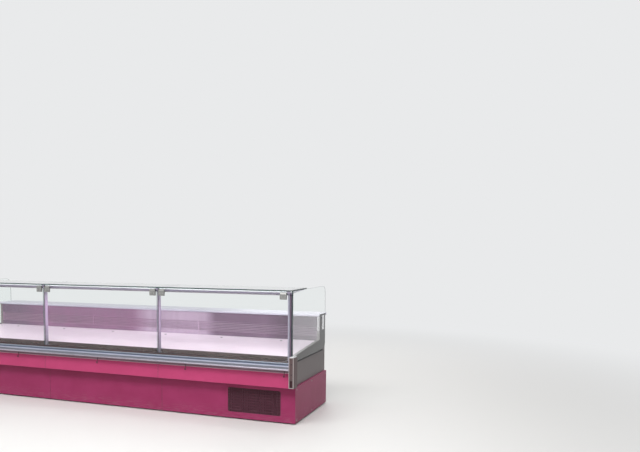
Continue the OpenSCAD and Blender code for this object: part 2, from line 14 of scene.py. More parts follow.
import bmesh
import bpy
import numpy as np
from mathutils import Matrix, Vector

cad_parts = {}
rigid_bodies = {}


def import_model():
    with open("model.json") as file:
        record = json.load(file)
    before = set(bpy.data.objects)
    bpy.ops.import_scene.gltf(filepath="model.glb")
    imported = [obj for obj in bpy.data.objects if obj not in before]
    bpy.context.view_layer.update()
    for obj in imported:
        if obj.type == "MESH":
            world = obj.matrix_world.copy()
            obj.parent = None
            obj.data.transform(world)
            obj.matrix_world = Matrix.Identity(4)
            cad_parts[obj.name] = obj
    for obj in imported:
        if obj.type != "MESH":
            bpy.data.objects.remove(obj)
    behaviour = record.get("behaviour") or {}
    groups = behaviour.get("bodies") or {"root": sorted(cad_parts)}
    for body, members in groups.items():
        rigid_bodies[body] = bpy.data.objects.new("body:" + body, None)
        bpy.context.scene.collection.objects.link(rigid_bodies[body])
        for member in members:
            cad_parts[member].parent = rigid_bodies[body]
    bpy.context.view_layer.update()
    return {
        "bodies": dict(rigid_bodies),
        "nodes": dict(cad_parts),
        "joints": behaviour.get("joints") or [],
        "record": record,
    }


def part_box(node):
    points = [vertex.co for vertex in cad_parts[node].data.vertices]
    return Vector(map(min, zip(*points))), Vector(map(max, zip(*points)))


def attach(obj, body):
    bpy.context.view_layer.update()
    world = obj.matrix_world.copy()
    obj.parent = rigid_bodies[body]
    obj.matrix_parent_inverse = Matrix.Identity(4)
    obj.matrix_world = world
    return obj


LOG = logging.getLogger("counter")
METRE = 1000.0
CABINET = "cabinet"
PANES = ("left", "middle", "right")
BOTH = (1, -1)
# How far a piece reaches into what it lies on, so that no gap shows: a skin, a strip, and a head or a rim
SINK, ROOT, DEEP_ROOT = 0.1, 0.2, 0.4
# A screw's head from foot to socket, in shares of its radius and height; a negative radius is a hexagon's
HEAD = ((1.0, 0.0), (1.0, 0.25), (0.8, 0.7), (0.55, 1.0), (-0.42, 1.0), (-0.42, 0.45), (-0.126, 0.45))
Array = np.ndarray
Pair = tuple[float, float]
Vec = tuple[float, float, float]
Tree = bpy.types.NodeTree
Socket = bpy.types.NodeSocket


class Axis(Enum):
    """The three directions of the frame."""

    X = 0
    Y = 1
    Z = 2

    @property
    def others(self) -> tuple[int, int]:
        """The two directions that follow this one in the order X, Y, Z, X."""
        return (self.value + 1) % 3, (self.value + 2) % 3


@dataclass
class Shape:
    """Points in millimetres and the faces between them."""

    points: Array
    faces: list

    def mirrored(self) -> "Shape":
        """The same shape at the other end of the counter."""
        return Shape(self.points * np.array([-1, 1, 1]), self.faces)


def joined(shapes: Sequence[Shape]) -> Shape:
    """Puts several shapes into one.

    Args:
        shapes: the shapes, each with its own numbering of points.

    Returns:
        One shape, whose faces are renumbered by the points that came before.
    """
    starts = np.cumsum([0] + [len(s.points) for s in shapes[:-1]])
    faces = [[int(start) + i for i in f] for s, start in zip(shapes, starts) for f in s.faces]
    return Shape(np.concatenate([s.points for s in shapes]), faces)


def at_both_ends(shapes: Sequence[Shape]) -> Shape:
    """Puts shapes of the right end into one, together with their mirror images at the left end."""
    return joined(list(shapes) + [s.mirrored() for s in shapes])


def grid_faces(rows: int, columns: int, wrap_rows: bool, wrap_columns: bool) -> list:
    """Quads between neighbouring points of a grid.

    Args:
        rows: number of rows of points.
        columns: number of points in a row.
        wrap_rows: whether the last row joins the first.
        wrap_columns: whether the last point of a row joins its first.

    Returns:
        Point numbers of each quad: (i, j), (i, j+1), (i+1, j+1), (i+1, j).
    """
    steps = np.arange(rows - (not wrap_rows)), np.arange(columns - (not wrap_columns))
    i, j = np.meshgrid(*steps, indexing="ij")
    next_i, next_j = (i + 1) % rows, (j + 1) % columns
    corners = (i * columns + j, i * columns + next_j, next_i * columns + next_j, next_i * columns + j)
    return np.stack(corners, axis=-1).reshape(-1, 4).tolist()


def bar(outline: Array, start: float, end: float, axis: Axis = Axis.X) -> Shape:
    """A closed outline carried straight along an axis, with a flat cap at each end.

    The point for outline place i and end k is (outline_i, start or end), with the outline's two numbers
    on the axes that follow the given one in the order X, Y, Z, X.

    Args:
        outline: closed outline, one row of two numbers for each corner.
        start: place of the first cap along the axis.
        end: place of the second cap.
        axis: direction in which the outline is carried.

    Returns:
        The closed bar.
    """
    n = len(outline)
    points = np.zeros((2, n, 3))
    for k, other in enumerate(axis.others):
        points[..., other] = outline[:, k]
    points[0, :, axis.value], points[1, :, axis.value] = start, end
    faces = grid_faces(2, n, False, True) + [list(range(n)), list(range(n, 2 * n))]
    return Shape(points.reshape(-1, 3), faces)


def ring(outer: Array, inner: Array, start: float, end: float, axis: Axis) -> Shape:
    """The space between two closed outlines of equally many points, carried straight along an axis.

    Each outline place i gives the loop (outer_i, start), (inner_i, start), (inner_i, end), (outer_i, end).

    Args:
        outer: the outer outline.
        inner: the inner outline, point by point beside the outer one.
        start: place of the first side along the axis.
        end: place of the second side.
        axis: direction in which the outlines are carried.

    Returns:
        The closed frame.
    """
    loops = np.zeros((len(outer), 4, 3))
    for k, other in enumerate(axis.others):
        loops[:, (0, 3), other] = outer[:, k, None]
        loops[:, (1, 2), other] = inner[:, k, None]
    loops[:, :2, axis.value], loops[:, 2:, axis.value] = start, end
    return Shape(loops.reshape(-1, 3), grid_faces(len(outer), 4, True, True))


def rounded(corners: Sequence[Pair], radii: Sequence[float], steps: int = 8) -> Array:
    """A closed outline whose corners are rounded.

    At a corner with unit directions a and b to its neighbours and the half angle h between them, the arc's
    centre lies on their bisector, radius / sin h away, and it starts radius / tan h along a.

    Args:
        corners: the sharp outline, anticlockwise.
        radii: radius at each corner; 0 leaves it sharp.
        steps: number of points on each arc.

    Returns:
        The outline with its arcs, one row for each point.
    """
    p = np.array(corners, float)
    parts = []
    for k, radius in enumerate(radii):
        if radius <= 0:
            parts.append(p[k][None])
            continue
        a, b = p[k - 1] - p[k], p[(k + 1) % len(p)] - p[k]
        a, b = a / np.linalg.norm(a), b / np.linalg.norm(b)
        half = math.acos(float(np.clip(a @ b, -1, 1))) / 2
        centre = p[k] + (a + b) / np.linalg.norm(a + b) * radius / math.sin(half)
        first, last = [p[k] + side * radius / math.tan(half) - centre for side in (a, b)]
        t = np.linspace(0, 1, steps)[:, None]
        between = first * (1 - t) + last * t
        parts.append(centre + between / np.linalg.norm(between, axis=1)[:, None] * radius)
    return np.concatenate(parts)


def box_outline(low: Pair, high: Pair, radius: float = 0.0, steps: int = 4) -> Array:
    """The outline of a rectangle from its low to its high corner, with equal round corners."""
    (a0, b0), (a1, b1) = low, high
    return rounded([(a0, b0), (a1, b0), (a1, b1), (a0, b1)], [radius] * 4, steps)


def block(low: Vec, high: Vec, along: Axis = Axis.X, radius: float = 0.0, steps: int = 4) -> Shape:
    """A box from its low to its high corner.

    Args:
        low: the low corner.
        high: the high corner.
        along: direction of the four edges that are rounded.
        radius: radius of those edges.
        steps: number of points on each of their arcs.

    Returns:
        The closed box.
    """
    first, second = along.others
    outline = box_outline((low[first], low[second]), (high[first], high[second]), radius, steps)
    return bar(outline, low[along.value], high[along.value], along)


def turned(profile: Sequence[Pair], centre: Vec, axis: Axis, steps: int = 24, sides: int = 0) -> Shape:
    """A profile turned round an axis.

    The point for profile row (r, h) and angle t is centre + r cos t e1 + r sin t e2 + h axis. With sides
    given, rows with a negative r are polygons of that many sides and the flat-to-centre distance -r.

    Args:
        profile: rows of radius and height, from one end to the other.
        centre: place of the profile's height 0.
        axis: direction of the height.
        steps: number of points round a ring.
        sides: number of sides of the polygonal rings.

    Returns:
        The turned shape, closed at both ends.
    """
    rows = np.array(profile, float)
    t = np.arange(steps) * 2 * np.pi / steps
    radius = np.abs(rows[:, :1]) * np.ones(steps)
    if sides:
        flat = 2 * np.pi / sides
        reach = 1 / np.cos((t + flat / 2) % flat - flat / 2)
        radius = np.where(rows[:, :1] < 0, radius * reach, radius)
    points = np.zeros((len(rows), steps, 3))
    first, second = axis.others
    points[..., first], points[..., second] = radius * np.cos(t), radius * np.sin(t)
    points[..., axis.value] = rows[:, 1:]
    n = len(rows) * steps
    faces = grid_faces(len(rows), steps, False, True) + [list(range(steps)), list(range(n - steps, n))]
    return Shape(points.reshape(-1, 3) + np.array(centre), faces)


def screw(centre: Vec, axis: Axis, outwards: int, radius: float, height: float) -> Shape:
    """A button-head screw with a hexagon socket.

    The rows of the head, times its radius and height, are turned round the axis; the rings of the socket
    are hexagons.

    Args:
        centre: where the screw's axis meets the sheet.
        axis: direction of the screw.
        outwards: 1 or -1, the side of the head along that axis.
        radius: radius of the head.
        height: height of the head.

    Returns:
        The head as a closed shape.
    """
    rows = [(r * radius, h * height) for r, h in HEAD]
    rows[0] = (radius, -DEEP_ROOT)
    shape = turned(rows, (0, 0, 0), axis, steps=18, sides=6)
    shape.points[:, axis.value] *= outwards
    shape.points += np.array(centre)
    return shape


def rim(path: Array, plane: Axis, place: float, thickness: float, bulge: float) -> Shape:
    """A pencil-round edge along the closed outline of a pane.

    The cross-section is half an ellipse: across the thickness it goes with the cosine, and outwards with
    the sine times the bulge. It is carried along the path on the path's outward normals.

    Args:
        path: closed outline, anticlockwise, on the two axes that follow the given one.
        plane: axis at right angles to the pane.
        place: middle of the pane along that axis.
        thickness: thickness of the pane.
        bulge: how far the edge stands out.

    Returns:
        The edge as a closed ring.
    """
    along = np.roll(path, -1, axis=0) - np.roll(path, 1, axis=0)
    along /= np.linalg.norm(along, axis=1)[:, None]
    outward = np.stack([along[:, 1], -along[:, 0]], axis=1)
    t = np.linspace(0, np.pi, 7)
    half, root = thickness / 2, (thickness - SINK) / 2
    across = np.concatenate([half * np.cos(t), [-root, root]])
    out = np.concatenate([bulge * np.sin(t), [-DEEP_ROOT, -DEEP_ROOT]])
    points = np.zeros((len(path), len(across), 3))
    points[..., plane.value] = place + across
    for k, other in enumerate(plane.others):
        points[..., other] = path[:, k, None] + outward[:, k, None] * out
    return Shape(points.reshape(-1, 3), grid_faces(len(path), len(across), True, True))


def pleated(x: Pair, z: Pair, y: float, depth: float, pitch: float, thickness: float) -> Shape:
    """A pleated filter mat: its front is at y plus or minus half the depth, in turn, every half pitch.

    Args:
        x: the two ends along the counter.
        z: lower and upper edge.
        y: middle of the pleats' front.
        depth: depth of the pleats.
        pitch: distance of neighbouring pleats.
        thickness: thickness of the mat.

    Returns:
        The mat as a closed skin.
    """
    count = int((x[1] - x[0]) / pitch) * 2
    u = np.linspace(x[0], x[1], count + 1)
    wave = y + depth / 2 * (-1.0) ** np.arange(count + 1)
    front, back = np.stack([u, wave], axis=1), np.stack([u, wave + thickness], axis=1)
    return bar(np.concatenate([front, back[::-1]]), z[0], z[1], Axis.Z)


def wound(centre: Vec, radius: float, depth: float, pitch: float, turns: int, steps: int = 16) -> Shape:
    """An upright screw thread: a ridge that climbs one pitch a turn.

    The point at angle t has the height pitch * t / 2 pi. The ridge's three lines lie just inside the stem,
    the depth outside it, and inside it again, each 0.45 of a pitch above the one before.

    Args:
        centre: lower end of the thread's axis.
        radius: radius of the stem.
        depth: depth of the thread.
        pitch: rise of one turn.
        turns: number of turns.
        steps: number of points on a turn.

    Returns:
        The ridge as a closed strip round the stem.
    """
    t = np.arange(turns * steps + 1) * 2 * np.pi / steps
    reach = radius + np.array([-SINK, depth, -SINK])[:, None]
    rise = np.array([-0.45, 0.0, 0.45])[:, None]
    points = np.stack([reach * np.cos(t), reach * np.sin(t), pitch * (t / (2 * np.pi) + rise)], axis=-1)
    ends = [[0, len(t), 2 * len(t)], [len(t) - 1, 2 * len(t) - 1, 3 * len(t) - 1]]
    return Shape(points.reshape(-1, 3) + np.array(centre), grid_faces(3, len(t), True, False) + ends)


def piece(name: str, shape: Shape, finish: bpy.types.Material, body: str = CABINET,
          slot: Optional[str] = None, smooth: float = 35.0) -> bpy.types.Object:
    """Turns a closed shape into a finished piece that rides on a body.

    Args:
        name: name of the piece.
        shape: its points and faces, in millimetres.
        finish: its material.
        body: the body that carries it.
        slot: the record's material slot of its finish; not used.
        smooth: faces that meet at less than this angle are shaded as one surface, in degrees.

    Returns:
        The new object.
    """
    mesh = bpy.data.meshes.new(name)
    mesh.from_pydata((shape.points / METRE).tolist(), [], shape.faces)
    mesh.validate()
    skin = bmesh.new()
    skin.from_mesh(mesh)
    bmesh.ops.recalc_face_normals(skin, faces=skin.faces)
    skin.to_mesh(mesh)
    skin.free()
    mesh.polygons.foreach_set("use_smooth", np.ones(len(mesh.polygons), bool))
    mesh.set_sharp_from_angle(angle=math.radians(smooth))
    mesh.materials.append(finish)
    made = bpy.data.objects.new(name, mesh)
    bpy.context.scene.collection.objects.link(made)
    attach(made, body)
    LOG.info("%s: %d points", name, len(shape.points))
    return made


def place_of(node: str) -> tuple[Array, Array]:
    """The low and high corner of a solid, in millimetres."""
    low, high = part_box(node)
    return np.array(low) * METRE, np.array(high) * METRE


def linear(colour: str) -> tuple[float, float, float, float]:
    """Turns an sRGB colour to a linear one.

    Args:
        colour: hex value such as "#9E325A".

    Returns:
        Red, green and blue in linear light, and an alpha of 1.
    """
    s = np.array([int(colour[i:i + 2], 16) / 255 for i in (1, 3, 5)])
    rgb = np.where(s <= 0.04045, s / 12.92, ((s + 0.055) / 1.055) ** 2.4)
    return (*rgb.tolist(), 1.0)


def add_node(tree: Tree, kind: str, values: Optional[dict] = None, links: Optional[dict] = None,
             **settings: object) -> bpy.types.Node:
    """Adds a shader node with its settings, values and links.

    Args:
        tree: the material's node tree.
        kind: name of the node's type without its prefix "ShaderNode".
        values: value of each input, by name or number.
        links: output that feeds each input, by name or number.
        settings: attributes of the node itself.

    Returns:
        The new node.
    """
    node = tree.nodes.new("ShaderNode" + kind)
    for key, value in settings.items():
        setattr(node, key, value)
    for key, value in (values or {}).items():
        node.inputs[key].default_value = value
    for key, output in (links or {}).items():
        tree.links.new(output, node.inputs[key])
    return node


def place_along(tree: Tree, axis: Axis) -> Socket:
    """The place of a surface point along one axis of the frame, in metres."""
    where = add_node(tree, "TexCoord").outputs["Object"]
    return add_node(tree, "SeparateXYZ", links={0: where}).outputs[axis.name]


def mottle(tree: Tree, size: Vec, span: Pair, to: Pair = (0.0, 1.0), detail: float = 3.0) -> Socket:
    """Uneven patches of a real size, as dirt, wear, grain and rolled sheet have.

    Args:
        tree: the material's node tree.
        size: size of a patch along X, Y and Z, in millimetres.
        span: the pattern's values at which the result starts and stops to change; most lie from 0.3 to 0.7.
        to: the result at those two values.
        detail: number of finer layers.

    Returns:
        The result, which stays between the two given numbers.
    """
    where = add_node(tree, "TexCoord").outputs["Object"]
    scaled = add_node(tree, "Mapping", {"Scale": tuple(METRE / s for s in size)}, {"Vector": where})
    layers = {"Scale": 1.0, "Detail": detail, "Roughness": 0.55}
    made = add_node(tree, "TexNoise", layers, {0: scaled.outputs[0]})
    limits = {1: span[0], 2: span[1], 3: to[0], 4: to[1]}
    return add_node(tree, "MapRange", limits, {0: made.outputs[0]}).outputs[0]


@dataclass(frozen=True)
class Finish:
    """A surface finish: its colour, the colour that it varies towards, how it shines and how it wears.

    The grain of real coats, plastics and sheet is mostly finer than a millimetre. It is drawn 2 mm wide or
    more, as coarse as it needs to be to show.
    """

    name: str
    colour: str
    other: str
    roughness: float = 0.45
    metallic: float = 0.0
    patch: Vec = (220.0, 220.0, 220.0)
    grain: Vec = (3.0, 3.0, 3.0)
    grain_height: float = 0.04
    wave_height: float = 0.0
    shine_swing: float = 0.06
    mirror: float = 0.5
    worn: str = ""
    edge: float = 1.5
    patch_span: Pair = (0.35, 0.7)
    grain_span: Pair = (0.25, 0.75)
    wave: Vec = (260.0, 260.0, 200.0)
    edge_turn: Pair = (0.97, 0.8)
    edge_share: float = 0.8
    edge_patch: Vec = (15.0, 15.0, 15.0)
    edge_span: Pair = (0.4, 0.6)
    edge_cover: Pair = (0.15, 1.0)

    def material(self) -> bpy.types.Material:
        """Builds the material: colour patches, worn edges, grain in gloss and relief, and slight waves.

        Returns:
            The new material.
        """
        made = bpy.data.materials.new(self.name)
        made.use_nodes = True
        tree = made.node_tree
        shader = tree.nodes["Principled BSDF"]
        shader.inputs["Metallic"].default_value = self.metallic
        shader.inputs["Specular IOR Level"].default_value = self.mirror
        grain = mottle(tree, self.grain, self.grain_span, detail=2.0)
        shine = {3: self.roughness - self.shine_swing, 4: self.roughness + self.shine_swing}
        gloss = add_node(tree, "MapRange", shine, {0: grain})
        tree.links.new(gloss.outputs[0], shader.inputs["Roughness"])
        colour = self.tint(tree)
        tree.links.new(self.wear(tree, colour) if self.worn else colour, shader.inputs["Base Color"])
        height = {"Strength": 1.0, "Distance": self.grain_height / METRE}
        relief = add_node(tree, "Bump", height, {"Height": grain})
        if self.wave_height:
            swell = mottle(tree, self.wave, (0.0, 1.0), detail=0.0)
            height = {"Strength": 1.0, "Distance": self.wave_height / METRE}
            relief = add_node(tree, "Bump", height, {"Height": swell, "Normal": relief.outputs[0]})
        tree.links.new(relief.outputs[0], shader.inputs["Normal"])
        self.extra(shader)
        return made

    def tint(self, tree: Tree) -> Socket:
        """The base colour: the main colour with patches of the other one."""
        patches = mottle(tree, self.patch, self.patch_span)
        return add_node(tree, "Mix", {6: linear(self.colour), 7: linear(self.other)}, {0: patches},
                        data_type="RGBA").outputs[2]

    def wear(self, tree: Tree, colour: Socket) -> Socket:
        """Rubs the colour off along edges.

        Where the normal of the rounded edge turns away from the face's own, the worn colour comes through,
        broken up by patches.

        Args:
            tree: the material's node tree.
            colour: the colour before wear.

        Returns:
            The colour with its worn edges.
        """
        round_edge = add_node(tree, "Bevel", {"Radius": self.edge / METRE}, samples=4).outputs[0]
        flat = add_node(tree, "NewGeometry").outputs["Normal"]
        turn = add_node(tree, "VectorMath", links={0: round_edge, 1: flat}, operation="DOT_PRODUCT")
        limits = {1: self.edge_turn[0], 2: self.edge_turn[1], 3: 0.0, 4: self.edge_share}
        edge = add_node(tree, "MapRange", limits, {0: turn.outputs["Value"]})
        broken = mottle(tree, self.edge_patch, self.edge_span, self.edge_cover, detail=4.0)
        share = add_node(tree, "Math", links={0: edge.outputs[0], 1: broken}, operation="MULTIPLY")
        return add_node(tree, "Mix", {7: linear(self.worn)}, {0: share.outputs[0], 6: colour},
                        data_type="RGBA").outputs[2]

    def extra(self, shader: bpy.types.Node) -> None:
        """A place for what only some finishes have."""


@dataclass(frozen=True)
class PowderCoat(Finish):
    """Baked powder coat: a satin skin with orange peel, scuffed and dusty near the floor."""

    scuff: str = "#A8798A"
    scuff_top: float = 130.0
    scuff_share: float = 0.5
    scuff_size: Vec = (60.0, 60.0, 4.0)
    scuff_span: Pair = (0.5, 0.66)

    def tint(self, tree: Tree) -> Socket:
        """The painted colour, with scuffs that thin out upwards from the floor.

        Args:
            tree: the material's node tree.

        Returns:
            The colour.
        """
        painted = Finish.tint(self, tree)
        limits = {1: 0.0, 2: self.scuff_top / METRE, 3: self.scuff_share, 4: 0.0}
        low = add_node(tree, "MapRange", limits, {0: place_along(tree, Axis.Z)})
        marks = mottle(tree, self.scuff_size, self.scuff_span, detail=4.0)
        share = add_node(tree, "Math", links={0: low.outputs[0], 1: marks}, operation="MULTIPLY")
        return add_node(tree, "Mix", {7: linear(self.scuff)}, {0: share.outputs[0], 6: painted},
                        data_type="RGBA").outputs[2]


@dataclass(frozen=True)
class UpperTonedRail(Finish):
    """Extrusion that turns to another colour above a height: a darker bluish grey on the bumper's upper rib,
    and painted shade on the upper groove's strip; below, it keeps its own colour.
    """

    upper_tone: str = "#9AA4B2"
    start: float = 530.0
    end: float = 552.0

    def tint(self, tree: Tree) -> Socket:
        """The finish's own colour below the start, the upper colour above the end, and a blend between.

        Args:
            tree: the material's node tree.

        Returns:
            The colour.
        """
        bright = Finish.tint(self, tree)
        limits = {1: self.start / METRE, 2: self.end / METRE}
        high = add_node(tree, "MapRange", limits, {0: place_along(tree, Axis.Z)})
        return add_node(tree, "Mix", {7: linear(self.upper_tone)}, {0: high.outputs[0], 6: bright},
                        data_type="RGBA").outputs[2]


@dataclass(frozen=True)
class BandedSheet(Finish):
    """Satin metal or plastic with broad soft bands of tone along one axis, and fine streaks; on the deck,
    lining, louvres and posts the bands are painted light, shade and reflections.

    The bands are pairs of a place along one axis and the tone there; between them the tones blend.
    """

    bands: tuple = ()
    along: Axis = Axis.X
    span: Pair = (-2000.0, 2000.0)
    streak_share: float = 0.4

    def tint(self, tree: Tree) -> Socket:
        """The bands, with streaks of the other colour over them.

        Args:
            tree: the material's node tree.

        Returns:
            The colour.
        """
        start, end = self.span
        share = add_node(tree, "MapRange", {1: start / METRE, 2: end / METRE},
                         {0: place_along(tree, self.along)})
        ramp = add_node(tree, "ValToRGB", links={0: share.outputs[0]})
        stops = ramp.color_ramp.elements
        while len(stops) < len(self.bands):
            stops.new(1.0)
        for stop, (place, tone) in zip(stops, self.bands):
            stop.position, stop.color = (place - start) / (end - start), linear(tone)
        streaks = mottle(tree, self.patch, self.patch_span, (0.0, self.streak_share))
        return add_node(tree, "Mix", {7: linear(self.other)}, {0: streaks, 6: ramp.outputs[0]},
                        data_type="RGBA").outputs[2]


@dataclass(frozen=True)
class PunchedSheet(Finish):
    """Sheet punched with small round holes in staggered rows, painted dark as the shade behind them."""

    hole: float = 4.0
    pitch: float = 6.0
    hole_shade: str = "#2A2026"
    blur: float = 0.03

    def tint(self, tree: Tree) -> Socket:
        """The sheet's colour with its holes.

        A hole lies wherever the distance to the nearest point of a staggered grid is under its radius. With
        x and z counted in pitches, x moves by half the row number, so that every second row is shifted.

        Args:
            tree: the material's node tree.

        Returns:
            The colour, with painted shade in the holes.
        """
        sheet = Finish.tint(self, tree)
        count = METRE / self.pitch
        z = add_node(tree, "Math", {1: count}, {0: place_along(tree, Axis.Z)},
                     operation="MULTIPLY").outputs[0]
        row = add_node(tree, "Math", links={0: z}, operation="FLOOR").outputs[0]
        shift = add_node(tree, "Math", {1: 0.5}, {0: row}, operation="MULTIPLY").outputs[0]
        x = add_node(tree, "Math", {1: count}, {0: place_along(tree, Axis.X), 2: shift},
                     operation="MULTIPLY_ADD").outputs[0]
        parts = [add_node(tree, "Math", links={0: v}, operation="FRACT").outputs[0] for v in (x, z)]
        off = [add_node(tree, "Math", {1: 0.5}, {0: v}, operation="SUBTRACT").outputs[0] for v in parts]
        both = add_node(tree, "CombineXYZ", links={0: off[0], 1: off[1]}).outputs[0]
        away = add_node(tree, "VectorMath", links={0: both}, operation="LENGTH").outputs["Value"]
        radius = self.hole / self.pitch / 2
        limits = {1: radius + self.blur, 2: radius - self.blur}
        inside = add_node(tree, "MapRange", limits, {0: away}).outputs[0]
        return add_node(tree, "Mix", {7: linear(self.hole_shade)}, {0: inside, 6: sheet},
                        data_type="RGBA").outputs[2]


@dataclass(frozen=True)
class FloatGlass:
    """Toughened float glass: clear with a faint green cast; lamps shine through it."""

    name: str
    colour: str
    ior: float = 1.5
    ripple: Vec = (300.0, 300.0, 300.0)
    ripple_height: float = 0.01

    def material(self) -> bpy.types.Material:
        """Builds glass that refracts for the eye and lets the light of the lamps straight through.

        Returns:
            The new material.
        """
        made = bpy.data.materials.new(self.name)
        made.use_nodes = True
        tree = made.node_tree
        shader = tree.nodes["Principled BSDF"]
        for key, value in (("Base Color", linear(self.colour)), ("Transmission Weight", 1.0),
                           ("IOR", self.ior), ("Roughness", 0.0)):
            shader.inputs[key].default_value = value
        rolled = mottle(tree, self.ripple, (0.0, 1.0), detail=0.0)
        height = {"Strength": 1.0, "Distance": self.ripple_height / METRE}
        ripple = add_node(tree, "Bump", height, {"Height": rolled})
        tree.links.new(ripple.outputs[0], shader.inputs["Normal"])
        clear = add_node(tree, "BsdfTransparent", {"Color": linear(self.colour)})
        ray = add_node(tree, "LightPath").outputs["Is Shadow Ray"]
        both = add_node(tree, "MixShader", links={0: ray, 1: shader.outputs[0], 2: clear.outputs[0]})
        tree.links.new(both.outputs[0], tree.nodes["Material Output"].inputs["Surface"])
        return made


@dataclass(frozen=True)
class LitTube(Finish):
    """Opal lamp tube: a white phosphor coat that glows evenly, a little pinkish."""

    glow: str = "#FFDDF0"
    strength: float = 5.0

    def extra(self, shader: bpy.types.Node) -> None:
        """Adds the glow."""
        shader.inputs["Emission Color"].default_value = linear(self.glow)
        shader.inputs["Emission Strength"].default_value = self.strength


